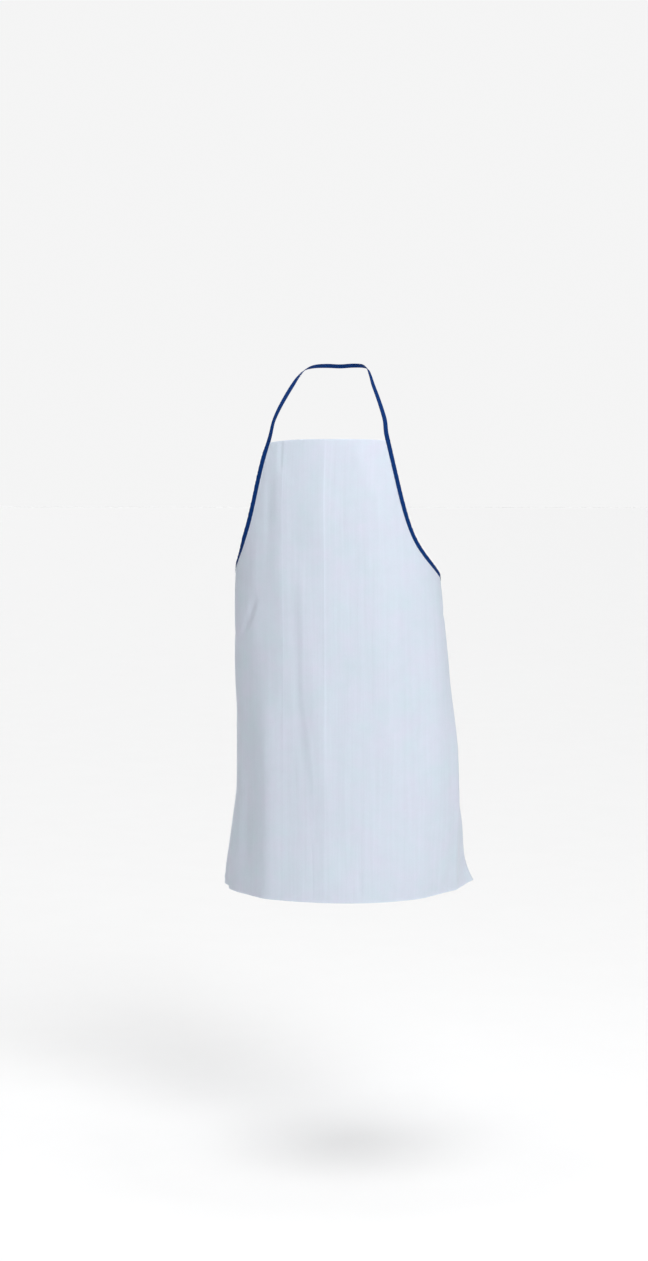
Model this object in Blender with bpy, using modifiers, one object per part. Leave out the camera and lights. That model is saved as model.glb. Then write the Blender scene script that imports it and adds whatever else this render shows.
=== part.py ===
"""A white nonwoven bib apron with a navy binding tape, open as worn on a general figure that is left out.

The panel is cut flat, as a rectangle with two J-shaped armholes, and each place of the cut is then carried onto
rings that stand for the figure's outline. The tape is folded over both armholes. Folded shut, it also makes the
neck loop and the two waist ties, which meet in a plain knot with two free ends at the centre of the back.

Frame: metres, +Z up. The wearer faces -Y and +X is the wearer's left. The origin is the inner face of the neck
loop at the centre of the nape, where the wearer holds the apron up.
"""

import math
from typing import NamedTuple

import bmesh
import bpy
import numpy as np

# Flat cut of the panel
PANEL_WIDTH = 0.80
PANEL_LENGTH = 0.89
BIB_WIDTH = 0.252
ARMHOLE_DEPTH = 0.30
ARMHOLE_SLANT = 0.27  # half-width gained for each metre down the bib
ARMHOLE_POWER = 7  # the higher, the later the armhole turns out to the side
PANEL_WALL = 0.0012

# Hang of the panel
TOP_HEIGHT = -0.1480  # the bib's top edge at the crease
BIB_SAG = {-1: 0.007, 1: 0.003}  # how far each corner of the bib hangs below the middle, by side (-X, +X)
BIB_SAG_REACH = 0.10
HEM_LIFT = {-1: 0.001, 1: 0.010}  # how far each corner of the hem stands above its middle, by side

# Binding tape, folded to half its cut width
TAPE_FOLDED = 0.009
TAPE_WALL = 0.001
TIE_WALL = 0.0018  # two leaves pressed together
LEAF_GAP = 0.0007
SPINE_OUT = 0.0009  # from the raw edge to the middle of the fold's wall
BINDING_PAST = 0.0028  # how far the binding runs on past the panel's corners
END_GAP = 0.0004  # between pieces of tape
KNOT_GAP = 0.0001  # from the knot's tip along X to a tie's end, which sits beside the tip
END_LEAD = 0.012  # how far the tape runs on straight past an armhole's end

# Knot of the two ties
KNOT_SIZE = (0.026, 0.013, 0.019)
KNOT_CENTRE = (0.006, 0.0620, -0.468)
KNOT_SEGMENTS = (16, 10)

# Steps of the facets
BIB_COLUMNS = 6
ARMHOLE_COLUMNS = 28
PANEL_ROWS = 22
NECK_STEPS = 46
TIE_STEPS = 16
TAIL_STEPS = 12

# Grid on which the rings are worked out
LEVEL_STEP = 0.006
ARC_STEP = 0.004
ARC_REACH = 0.46
TURN_STEPS = 360
WRAP_SHARPNESS = 9


class Ring(NamedTuple):
    """One level outline of the worn panel: its extents, and where the cloth heads past each side."""

    height: float
    side_right: float  # X of the side at -X
    side_left: float  # X of the side at +X
    side_y: float
    front_y: float
    crease_x: float
    wrap_right: float  # degrees that the cloth turns through from the crease to its edge at -X
    wrap_left: float  # and to its edge at +X


RINGS = (
    Ring(-0.090, -0.156, 0.158, -0.066, -0.155, 0.000, 175, 175),
    Ring(-0.150, -0.166, 0.168, -0.068, -0.171, 0.000, 175, 175),
    Ring(-0.260, -0.182, 0.186, -0.070, -0.192, 0.000, 175, 175),
    Ring(-0.390, -0.195, 0.206, -0.070, -0.203, 0.003, 170, 170),
    Ring(-0.460, -0.197, 0.214, -0.070, -0.208, 0.004, 160, 160),
    Ring(-0.560, -0.198, 0.224, -0.070, -0.214, 0.006, 128, 128),
    Ring(-0.700, -0.198, 0.236, -0.070, -0.221, 0.008, 108, 108),
    Ring(-0.820, -0.198, 0.244, -0.070, -0.227, 0.009, 96, 99),
    Ring(-0.880, -0.199, 0.244, -0.070, -0.229, 0.010, 87, 96),
    Ring(-0.940, -0.201, 0.242, -0.070, -0.232, 0.010, 80, 90),
    Ring(-0.990, -0.204, 0.238, -0.070, -0.235, 0.011, 76, 80),
    Ring(-1.045, -0.206, 0.228, -0.070, -0.238, 0.011, 72, 64),
)


class Fold(NamedTuple):
    """A soft ridge (height above 0) or trough (below 0) that runs down the cloth, in flat measures."""

    across_top: float
    across_end: float
    down_top: float
    down_end: float
    half_width: float
    height: float


FOLDS = (
    Fold(0.000, 0.000, 0.000, 0.880, 0.016, 0.0022),
    Fold(-0.085, -0.085, 0.000, 0.600, 0.020, 0.0018),
    Fold(-0.045, 0.000, 0.240, 0.720, 0.022, 0.0030),
    Fold(0.105, 0.125, 0.120, 0.700, 0.034, 0.0045),
    Fold(0.190, 0.185, 0.330, 0.860, 0.030, -0.0040),
    Fold(-0.190, -0.200, 0.360, 0.860, 0.034, -0.0040),
)
FOLD_FADE = 0.7


class NeckPoint(NamedTuple):
    """A place on the neck loop's inner face, and where its outer face looks, from the nape to the bib."""

    x_right: float  # distance out to -X
    x_left: float  # distance out to +X
    y: float
    z: float
    facing: float  # degrees round from the front
    rise: float  # degrees up


NECK_ROUTE = (
    NeckPoint(0.000, 0.000, 0.000, 0.000, 180, 32),
    NeckPoint(0.026, 0.026, -0.004, 0.001, 160, 34),
    NeckPoint(0.048, 0.048, -0.018, -0.001, 135, 40),
    NeckPoint(0.062, 0.061, -0.040, -0.008, 108, 46),
    NeckPoint(0.0715, 0.070, -0.062, -0.022, 84, 50),
    NeckPoint(0.0810, 0.079, -0.082, -0.042, 62, 48),
    NeckPoint(0.0915, 0.090, -0.099, -0.065, 48, 40),
    NeckPoint(0.1010, 0.100, -0.114, -0.088, 40, 30),
    NeckPoint(0.1090, 0.109, -0.128, -0.113, 36, 22),
)


class BackPoint(NamedTuple):
    """A place on a tie's inner face: out from the knot's middle, then Y, Z and where its outer face looks."""

    out: float
    y: float
    z: float
    facing: float  # degrees round from the front


TIE_ROUTE = (
    BackPoint(0.100, 0.0470, -0.4560, 156),
    BackPoint(0.060, 0.0560, -0.4620, 168),
    BackPoint(KNOT_SIZE[0] / 2 + KNOT_GAP, 0.0600, -0.4675, 178),
)


class TailPoint(NamedTuple):
    """A place on a free end of a tie, from the knot's middle: out, back and down."""

    out: float
    back: float
    down: float
    facing: float  # degrees round from the front


TAIL_LEFT = (
    TailPoint(0.0053, 0.0020, 0.0086, 180),
    TailPoint(0.0110, 0.0040, 0.0400, 176),
    TailPoint(0.0165, 0.0075, 0.0950, 166),
    TailPoint(0.0210, 0.0090, 0.1550, 152),
    TailPoint(0.0260, 0.0085, 0.2300, 138),
)
TAIL_RIGHT = (
    TailPoint(0.0053, 0.0020, 0.0086, 180),
    TailPoint(0.0100, 0.0035, 0.0350, 177),
    TailPoint(0.0150, 0.0065, 0.0850, 166),
    TailPoint(0.0205, 0.0085, 0.1400, 156),
    TailPoint(0.0235, 0.0100, 0.1950, 148),
)


def through_rows(places, values, at):
    """A smooth curve through a table's rows, read at the places `at`."""
    places = np.asarray(places, float)
    values = np.asarray(values, float)
    if places[0] > places[-1]:
        places, values = places[::-1], values[::-1]
    slopes = np.gradient(values, places)
    row = np.clip(np.searchsorted(places, at) - 1, 0, len(places) - 2)
    span = places[row + 1] - places[row]
    t = (at - places[row]) / span
    before = values[row] * (1 + 2 * t) * (1 - t) ** 2 + slopes[row] * span * t * (1 - t) ** 2
    after = values[row + 1] * t * t * (3 - 2 * t) + slopes[row + 1] * span * t * t * (t - 1)
    return before + after


def ring_column(name, heights):
    """One column of RINGS, smooth between its rows."""
    return through_rows([ring.height for ring in RINGS], [getattr(ring, name) for ring in RINGS], heights)


def sections_on_side(side, levels, arcs):
    """The cloth's run from the crease to one side at each level.

    It follows the ring's ellipse, and runs straight on where the ellipse would turn it past the ring's wrap.
    Returns x, y and heading (radians turned from straight across), each levels by arcs.
    """
    names = ("side_right", "side_left", "side_y", "front_y", "crease_x")
    near_x, far_x, side_y, front_y, crease_x = (ring_column(name, levels)[:, None] for name in names)
    half_width, depth, middle = (far_x - near_x) / 2, side_y - front_y, (near_x + far_x) / 2
    start = side * np.arcsin((crease_x - middle) / half_width)
    turn = start + np.linspace(0, 1, TURN_STEPS)[None, :] * (math.pi - start)
    speed = np.hypot(half_width * np.cos(turn), depth * np.sin(turn))
    heading = np.arctan2(depth * np.sin(turn), half_width * np.cos(turn))
    most = np.radians(ring_column("wrap_left" if side > 0 else "wrap_right", levels))[:, None]
    heading = heading - np.log1p(np.exp(WRAP_SHARPNESS * (heading - most))) / WRAP_SHARPNESS
    length = (speed[:, 1:] + speed[:, :-1]) / 2 * np.diff(turn, axis=1)
    mean = (heading[:, 1:] + heading[:, :-1]) / 2
    start_run = np.zeros((len(levels), 1))
    runs = [
        np.concatenate([start_run, np.cumsum(step, axis=1)], axis=1)
        for step in (length, np.cos(mean) * length, np.sin(mean) * length)
    ]
    rows = range(len(levels))
    x = crease_x + side * np.stack([np.interp(arcs, runs[0][k], runs[1][k]) for k in rows])
    y = side_y - depth * np.cos(start) + np.stack([np.interp(arcs, runs[0][k], runs[2][k]) for k in rows])
    return x, y, np.stack([np.interp(arcs, runs[0][k], heading[k]) for k in rows])


LEVELS = np.arange(RINGS[-1].height, RINGS[0].height + LEVEL_STEP / 2, LEVEL_STEP)
ARCS = np.arange(0, ARC_REACH + ARC_STEP / 2, ARC_STEP)
SECTIONS = {side: sections_on_side(side, LEVELS, ARCS) for side in (-1, 1)}


def read_section(side, height, arc):
    """x, y and heading on one side, between the table's levels and arcs."""
    row = np.clip((height - LEVELS[0]) / LEVEL_STEP, 0, len(LEVELS) - 1.001)
    column = np.clip(arc / ARC_STEP, 0, len(ARCS) - 1.001)
    i, j = row.astype(int), column.astype(int)
    u, v = row - i, column - j
    return [
        (1 - u) * ((1 - v) * t[i, j] + v * t[i, j + 1]) + u * ((1 - v) * t[i + 1, j] + v * t[i + 1, j + 1])
        for t in SECTIONS[side]
    ]


def height_down(down):
    """Height of the crease line at each distance down the cloth."""
    front = ring_column("front_y", LEVELS)
    length = np.concatenate([[0.0], np.cumsum(np.hypot(np.diff(LEVELS), np.diff(front)))])
    top = np.interp(TOP_HEIGHT, LEVELS, length)
    return np.interp(top - down, length, LEVELS)


def fold_height(across, down):
    """How far the soft folds lift the cloth off its ring."""
    lift = np.zeros(across.shape)
    for fold in FOLDS:
        share = np.clip((down - fold.down_top) / (fold.down_end - fold.down_top), 0, 1)
        middle = fold.across_top + share * (fold.across_end - fold.across_top)
        fade = np.sin(np.pi * share) ** FOLD_FADE
        lift += fold.height * fade * np.exp(-(((across - middle) / fold.half_width) ** 2))
    return lift


def cloth_points(across, down, off=0.0):
    """World points of flat places on the worn panel, moved out by `off` from its middle surface."""
    across, down, off = (np.array(a, float) for a in np.broadcast_arrays(across, down, off))
    bib_share = np.clip(np.abs(across) / (BIB_WIDTH / 2), 0, 1) ** 3
    hem_share = (np.abs(across) / (PANEL_WIDTH / 2)) ** 2
    points = np.empty(across.shape + (3,))
    for side in (-1, 1):
        here = across < 0 if side < 0 else across >= 0
        sag = BIB_SAG[side] * np.clip(1 - down[here] / BIB_SAG_REACH, 0, 1) ** 2 * bib_share[here]
        lift = HEM_LIFT[side] * np.clip(down[here] / PANEL_LENGTH, 0, 1) ** 4 * hem_share[here]
        height = height_down(down[here]) - sag + lift
        x, y, heading = read_section(side, height, np.abs(across[here]))
        reach = off[here] + fold_height(across[here], down[here])
        points[here, 0] = x + side * reach * np.sin(heading)
        points[here, 1] = y - reach * np.cos(heading)
        points[here, 2] = height
    return points


def armhole_edge():
    """Flat places (across, down) along one armhole from the bib's corner to the side, in even steps."""
    reach = PANEL_WIDTH / 2 - BIB_WIDTH / 2 - ARMHOLE_SLANT * ARMHOLE_DEPTH
    down = np.linspace(0, ARMHOLE_DEPTH, 600)
    across = BIB_WIDTH / 2 + ARMHOLE_SLANT * down + reach * (down / ARMHOLE_DEPTH) ** ARMHOLE_POWER
    length = np.concatenate([[0.0], np.cumsum(np.hypot(np.diff(across), np.diff(down)))])
    even = np.linspace(0, length[-1], ARMHOLE_COLUMNS + 1)
    return np.interp(even, length, across), np.interp(even, length, down)


def unit(vectors):
    """The same directions at length one."""
    return vectors / np.linalg.norm(vectors, axis=-1, keepdims=True)


def facing_vector(facing, rise=0.0):
    """The direction `facing` degrees round from the front (-Y) towards +X and `rise` degrees up."""
    turn, tilt = math.radians(facing), math.radians(rise)
    return (math.sin(turn) * math.cos(tilt), -math.cos(turn) * math.cos(tilt), math.sin(tilt))


def new_object(name, mesh, collection, material):
    """A smooth object that shows the mesh in one material."""
    mesh.materials.append(material)
    mesh.shade_smooth()
    thing = bpy.data.objects.new(name, mesh)
    collection.objects.link(thing)
    return thing


def walled_grid(name, points, wall, collection, material):
    """An open surface through a grid of points (rows, columns, 3), thickened evenly to both sides."""
    rows, columns = points.shape[:2]
    corner = np.arange(rows * columns).reshape(rows, columns)
    quads = np.stack([corner[:-1, :-1], corner[:-1, 1:], corner[1:, 1:], corner[1:, :-1]], axis=-1)
    mesh = bpy.data.meshes.new(name)
    mesh.from_pydata(points.reshape(-1, 3).tolist(), [], quads.reshape(-1, 4).tolist())
    thing = new_object(name, mesh, collection, material)
    solid = thing.modifiers.new("wall", "SOLIDIFY")
    solid.thickness = wall
    solid.offset = 0
    solid.use_even_offset = True
    return thing


def build_panel(collection, material):
    """The body panel. Its columns are upright lines of the cloth, which end at the bib's top or at an armhole."""
    edge_across, edge_down = armhole_edge()
    half = np.concatenate([np.linspace(0, BIB_WIDTH / 2, BIB_COLUMNS + 1)[:-1], edge_across])
    half_top = np.concatenate([np.zeros(BIB_COLUMNS), edge_down])
    across = np.concatenate([-half[:0:-1], half])
    top = np.concatenate([half_top[:0:-1], half_top])
    down = top + (PANEL_LENGTH - top) * np.linspace(0, 1, PANEL_ROWS + 1)[:, None]
    walled_grid("body_panel", cloth_points(across, down), PANEL_WALL, collection, material)


def binding_path():
    """The bound edge in the flat, run on a little past the panel's corners: places, directions, and the way in."""
    edge = np.stack(armhole_edge(), axis=1)
    along = unit(np.gradient(edge, axis=0))
    places = np.concatenate([edge[:1] - along[:1] * BINDING_PAST, edge, edge[-1:] + along[-1:] * BINDING_PAST])
    along = np.concatenate([along[:1], along, along[-1:]])
    return places, along, np.stack([-along[:, 1], along[:, 0]], axis=1)


def build_binding(name, side, collection, material):
    """Tape over one armhole: an inner leaf, the fold past the raw edge and an outer leaf."""
    edge, _, inward = binding_path()
    leaf = PANEL_WALL / 2 + LEAF_GAP + TAPE_WALL / 2
    section = (
        (TAPE_FOLDED - SPINE_OUT, -leaf),
        (0.0, -leaf),
        (-SPINE_OUT, -leaf / 2),
        (-SPINE_OUT, leaf / 2),
        (0.0, leaf),
        (TAPE_FOLDED - SPINE_OUT, leaf),
    )
    lines = []
    for inset, off in section[::side]:
        places = edge + inward * inset
        lines.append(cloth_points(side * places[:, 0], places[:, 1], off))
    walled_grid(name, np.stack(lines, axis=1), TAPE_WALL, collection, material)


def run_on(side, end):
    """Where the shut tape runs on past a binding's end (0 at the bib, -1 at the side).

    Returns two places of its inner face, the nearer first, the outward direction at each, and half of the tape's
    width at the nearer one, parallel to the binding's end.
    """
    edge, along, inward = binding_path()
    away = along[end] if end else -along[end]
    rim = edge[end] - inward[end] * SPINE_OUT
    flat = np.stack([rim + away * past + inward[end] * TAPE_FOLDED / 2 for past in (END_GAP, END_LEAD)])
    inner = cloth_points(side * flat[:, 0], flat[:, 1], -TIE_WALL / 2)
    outer = cloth_points(side * flat[:, 0], flat[:, 1], TIE_WALL / 2)
    sides = np.stack([rim, rim + inward[end] * TAPE_FOLDED]) + away * END_GAP
    low, high = cloth_points(side * sides[:, 0], sides[:, 1])
    return list(inner), list(unit(outer - inner)), (high - low) / 2


def shut_tape(name, route, looks, steps, end_widths, collection, material):
    """Tape folded shut, with its inner face on the route and its outer face looking as `looks` says.

    `end_widths` gives half of the width at the first (0) or last (-1) place, where it isn't square to the route.
    """
    route, looks = np.asarray(route, float), np.asarray(looks, float)
    length = np.concatenate([[0.0], np.cumsum(np.linalg.norm(np.diff(route, axis=0), axis=1))])
    even = np.linspace(0, length[-1], steps + 1)
    inner = np.stack([through_rows(length, route[:, k], even) for k in range(3)], axis=1)
    look = np.stack([np.interp(even, length, looks[:, k]) for k in range(3)], axis=1)
    along = unit(np.gradient(inner, axis=0))
    look = unit(look - along * np.sum(look * along, axis=1, keepdims=True))
    half = np.cross(look, along) * TAPE_FOLDED / 2
    for end, width in end_widths.items():
        half[end] = width * math.copysign(1, float(np.dot(width, half[end])))
    middle = inner + look * TIE_WALL / 2
    walled_grid(name, np.stack([middle - half, middle + half], axis=1), TIE_WALL, collection, material)


def build_neck_loop(collection, material):
    """From the bib's corner at -X, up over the collar and round the nape, down to the corner at +X."""
    right, right_looks, right_width = run_on(-1, 0)
    left, left_looks, left_width = run_on(1, 0)
    right += [(-row.x_right, row.y, row.z) for row in NECK_ROUTE[:0:-1]]
    right_looks += [facing_vector(-row.facing, row.rise) for row in NECK_ROUTE[:0:-1]]
    loop = [(row.x_left, row.y, row.z) for row in NECK_ROUTE]
    loop_looks = [facing_vector(row.facing, row.rise) for row in NECK_ROUTE]
    route = right + loop + left[::-1]
    looks = right_looks + loop_looks + left_looks[::-1]
    shut_tape("neck_loop", route, looks, NECK_STEPS, {0: right_width, -1: left_width}, collection, material)


def build_waist_tie(name, side, collection, material):
    """From the end of an armhole's binding round the waist to the knot."""
    route, looks, width = run_on(side, -1)
    route += [(KNOT_CENTRE[0] + side * row.out, row.y, row.z) for row in TIE_ROUTE]
    looks += [facing_vector(side * row.facing) for row in TIE_ROUTE]
    shut_tape(name, route, looks, TIE_STEPS, {0: width}, collection, material)


def build_tail(name, side, rows, collection, material):
    """The free end of a tie, hanging from the knot."""
    x, y, z = KNOT_CENTRE
    route = [(x + side * row.out, y + row.back, z - row.down) for row in rows]
    looks = [facing_vector(side * row.facing) for row in rows]
    shut_tape(name, route, looks, TAIL_STEPS, {}, collection, material)


def build_knot(collection, material):
    """The knot of the two ties, a rounded lump of tape."""
    mesh = bpy.data.meshes.new("waist_knot")
    shape = bmesh.new()
    bmesh.ops.create_uvsphere(shape, u_segments=KNOT_SEGMENTS[0], v_segments=KNOT_SEGMENTS[1], radius=0.5)
    bmesh.ops.scale(shape, vec=KNOT_SIZE, verts=shape.verts)
    shape.to_mesh(mesh)
    shape.free()
    new_object("waist_knot", mesh, collection, material).location = KNOT_CENTRE


def plain_material(name, colour, roughness):
    """A matte finish of one colour."""
    material = bpy.data.materials.new(name)
    material.use_nodes = True
    shader = material.node_tree.nodes["Principled BSDF"]
    shader.inputs["Base Color"].default_value = (*colour, 1)
    shader.inputs["Roughness"].default_value = roughness
    shader.inputs["Metallic"].default_value = 0
    material.diffuse_color = (*colour, 1)
    return material


def main():
    """Builds the apron afresh."""
    for thing in list(bpy.data.objects):
        bpy.data.objects.remove(thing, do_unlink=True)
    collection = bpy.data.collections.new("nonwoven_bib_apron")
    bpy.context.scene.collection.children.link(collection)
    cloth = plain_material("apron_cloth", (0.70, 0.75, 0.83), 0.75)
    tape = plain_material("binding_tape", (0.010, 0.040, 0.130), 0.65)
    build_panel(collection, cloth)
    build_neck_loop(collection, tape)
    for side, name, rows in ((1, "left", TAIL_LEFT), (-1, "right", TAIL_RIGHT)):
        build_binding(f"armhole_binding_{name}", side, collection, tape)
        build_waist_tie(f"waist_tie_{name}", side, collection, tape)
        build_tail(f"tie_end_{name}", side, rows, collection, tape)
    build_knot(collection, tape)


main()
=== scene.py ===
"""A white nonwoven bib apron with navy binding tape, hung as worn on a general figure that is left out.

The panel's flat cut is carried onto the same rings as its solid, at a finer step and with its creases. Every
tape piece is made from that cloth's points, moved out, or from the solid's own route.

Frame: metres, +Z up. The wearer faces -Y and +X is the wearer's left. The origin is the inner face of the
neck loop at the centre of the nape.
"""

import logging
import math
from dataclasses import dataclass, field
from enum import Enum
from typing import Any, NamedTuple

import bpy
import numpy as np
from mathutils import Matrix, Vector


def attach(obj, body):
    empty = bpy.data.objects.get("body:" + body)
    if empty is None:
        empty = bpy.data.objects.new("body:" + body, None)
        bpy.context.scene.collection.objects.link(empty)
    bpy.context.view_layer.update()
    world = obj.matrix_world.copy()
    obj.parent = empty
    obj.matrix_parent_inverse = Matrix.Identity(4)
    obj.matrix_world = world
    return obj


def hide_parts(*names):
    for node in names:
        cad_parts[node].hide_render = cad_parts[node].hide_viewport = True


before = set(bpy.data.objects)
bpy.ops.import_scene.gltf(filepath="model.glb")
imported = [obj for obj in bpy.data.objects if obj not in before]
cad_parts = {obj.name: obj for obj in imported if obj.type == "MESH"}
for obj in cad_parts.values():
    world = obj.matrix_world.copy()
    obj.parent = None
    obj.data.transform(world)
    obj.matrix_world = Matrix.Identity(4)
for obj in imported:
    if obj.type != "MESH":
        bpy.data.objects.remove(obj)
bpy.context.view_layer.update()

LOG = logging.getLogger("apron")
BODY = "root"
WHOLE_TURN = 2 * math.pi
PROBE = 0.001  # how far out a second point is taken, to get the direction outwards
CLOUD_DETAIL = 3.0
FINE_DETAIL = 2.0
NOISE_ROUGHNESS = 0.6


class Side(Enum):
    """A side of the wearer, and the sign of X there."""

    RIGHT = -1
    LEFT = 1

    @property
    def word(self) -> str:
        """The side's name as the CAD nodes give it."""
        return self.name.lower()


class FoldShape(Enum):
    """Cross-section of a fold in the cloth."""

    ROUND = "round"
    SHARP = "sharp"


class Ring(NamedTuple):
    """One level outline of the worn panel: its extents, and where the cloth heads past each side."""

    height: float
    side_right: float  # X of the side at -X
    side_left: float  # X of the side at +X
    side_y: float
    front_y: float
    crease_x: float
    wrap_right: float  # degrees that the cloth turns through from the crease to its edge at -X
    wrap_left: float  # and to its edge at +X


RINGS = (
    Ring(-0.090, -0.156, 0.158, -0.066, -0.155, 0.000, 175, 175),
    Ring(-0.150, -0.166, 0.168, -0.068, -0.171, 0.000, 175, 175),
    Ring(-0.260, -0.182, 0.186, -0.070, -0.192, 0.000, 175, 175),
    Ring(-0.390, -0.195, 0.206, -0.070, -0.203, 0.003, 170, 170),
    Ring(-0.460, -0.197, 0.214, -0.070, -0.208, 0.004, 160, 160),
    Ring(-0.560, -0.198, 0.224, -0.070, -0.214, 0.006, 128, 128),
    Ring(-0.700, -0.198, 0.236, -0.070, -0.221, 0.008, 108, 108),
    Ring(-0.820, -0.198, 0.244, -0.070, -0.227, 0.009, 96, 99),
    Ring(-0.880, -0.199, 0.244, -0.070, -0.229, 0.010, 87, 96),
    Ring(-0.940, -0.201, 0.242, -0.070, -0.232, 0.010, 80, 90),
    Ring(-0.990, -0.204, 0.238, -0.070, -0.235, 0.011, 76, 80),
    Ring(-1.045, -0.206, 0.228, -0.070, -0.238, 0.011, 72, 64),
)


class Drape(NamedTuple):
    """A broad fold of the solid's form: a ridge (height above 0) or trough that runs down the cloth."""

    across_top: float
    across_end: float
    down_top: float
    down_end: float
    half_width: float
    height: float


DRAPES = (
    Drape(0.000, 0.000, 0.000, 0.880, 0.016, 0.0014),
    Drape(-0.085, -0.085, 0.000, 0.600, 0.020, 0.0018),
    Drape(-0.045, 0.000, 0.240, 0.720, 0.022, 0.0030),
    Drape(0.105, 0.125, 0.120, 0.700, 0.034, 0.0045),
    Drape(0.190, 0.185, 0.330, 0.860, 0.030, -0.0040),
    Drape(-0.190, -0.200, 0.360, 0.860, 0.034, -0.0040),
)


class Crease(NamedTuple):
    """A crease in the flat cloth: the places (across, down) on its route, and its section."""

    route: tuple[tuple[float, float], ...]
    half_width: float
    height: float
    shape: FoldShape
    fade: float  # length over which it dies out at each end


ROUND, SHARP = FoldShape.ROUND, FoldShape.SHARP

FRONT_CREASES = (
    # Packing creases, which the sheet was folded along in its packet
    Crease(((0.000, -0.040), (0.001, 0.300), (0.000, 0.640)), 0.0022, 0.00050, SHARP, 0.090),
    Crease(((0.000, 0.550), (0.000, 0.930)), 0.0022, 0.00022, SHARP, 0.090),
    Crease(((-0.085, -0.040), (-0.084, 0.310), (-0.085, 0.660)), 0.0022, 0.00035, SHARP, 0.100),
    Crease(((-0.085, 0.560), (-0.086, 0.930)), 0.0022, 0.00014, SHARP, 0.100),
    # Short tuck below the bib's corner, and the hollow under it
    Crease(((-0.093, -0.020), (-0.089, 0.072)), 0.0050, -0.0012, ROUND, 0.030),
    Crease(((-0.112, 0.040), (-0.115, 0.120), (-0.118, 0.205)), 0.0120, -0.0017, ROUND, 0.050),
    # Bound edge turned up by the pull of its tape, wearer's right
    Crease(
        (
            (-0.125, -0.020), (-0.144, 0.050), (-0.157, 0.100),
            (-0.172, 0.150), (-0.196, 0.200), (-0.231, 0.235),
        ),
        0.0080, 0.0042, ROUND, 0.050,
    ),
    # Crossing fold at the waist
    Crease(((-0.146, 0.300), (-0.171, 0.348), (-0.206, 0.396)), 0.0095, -0.0042, ROUND, 0.030),
    # Long fold beside the middle, which shifts towards it below the hip
    Crease(
        (
            (-0.045, 0.200), (-0.044, 0.388), (-0.043, 0.500),
            (-0.030, 0.590), (-0.022, 0.660), (-0.021, 0.740),
        ),
        0.0060, 0.0006, ROUND, 0.090,
    ),
    Crease(
        (
            (-0.057, 0.260), (-0.056, 0.400), (-0.054, 0.510),
            (-0.043, 0.590), (-0.036, 0.660), (-0.036, 0.760),
        ),
        0.0110, -0.0009, ROUND, 0.090,
    ),
    Crease(((-0.025, 0.770), (-0.024, 0.905)), 0.0024, -0.0006, SHARP, 0.025),
    # Curved rise from the bib down to the ridge at the waist
    Crease(((0.050, -0.010), (0.081, 0.076), (0.101, 0.126), (0.118, 0.210)), 0.0140, 0.0016, ROUND, 0.050),
    Crease(((0.134, 0.140), (0.141, 0.310), (0.135, 0.468), (0.121, 0.640)), 0.0180, 0.0020, ROUND, 0.090),
    # Dent by the hem
    Crease(((0.066, 0.822), (0.069, 0.888)), 0.0070, -0.0009, ROUND, 0.025),
    # Edge of the flat stretch on the wearer's right, its hollow, and the hollow before the left corner
    Crease(((-0.122, 0.420), (-0.120, 0.650), (-0.118, 1.060)), 0.0260, 0.0044, ROUND, 0.200),
    Crease(((-0.182, 0.560), (-0.184, 0.800), (-0.188, 1.080)), 0.0330, -0.0054, ROUND, 0.220),
    Crease(((0.212, 0.680), (0.232, 0.820), (0.256, 1.060)), 0.0340, -0.0040, ROUND, 0.160),
    # Straight fall of the outline from the waist, which flares only by the hem
    Crease(((-0.258, 0.420), (-0.262, 0.600), (-0.266, 0.780)), 0.0400, -0.0042, ROUND, 0.120),
    Crease(((0.385, 0.770), (0.390, 0.850), (0.392, 0.990)), 0.0350, -0.0055, ROUND, 0.080),
    Crease(((0.380, 0.690), (0.384, 0.780), (0.386, 0.870)), 0.0350, 0.0055, ROUND, 0.080),
    # Faint dents beside the middle, from the bib to the hem
    Crease(((0.044, 0.060), (0.038, 0.180), (0.041, 0.300)), 0.0130, -0.0007, ROUND, 0.060),
    Crease(((0.028, 0.520), (0.034, 0.640), (0.030, 0.800)), 0.0150, 0.0008, ROUND, 0.090),
    Crease(((-0.012, 0.740), (-0.011, 0.950)), 0.0030, -0.0004, SHARP, 0.040),
    Crease(((-0.060, 0.030), (-0.062, 0.120), (-0.056, 0.240)), 0.0090, -0.0006, ROUND, 0.050),
)

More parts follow.
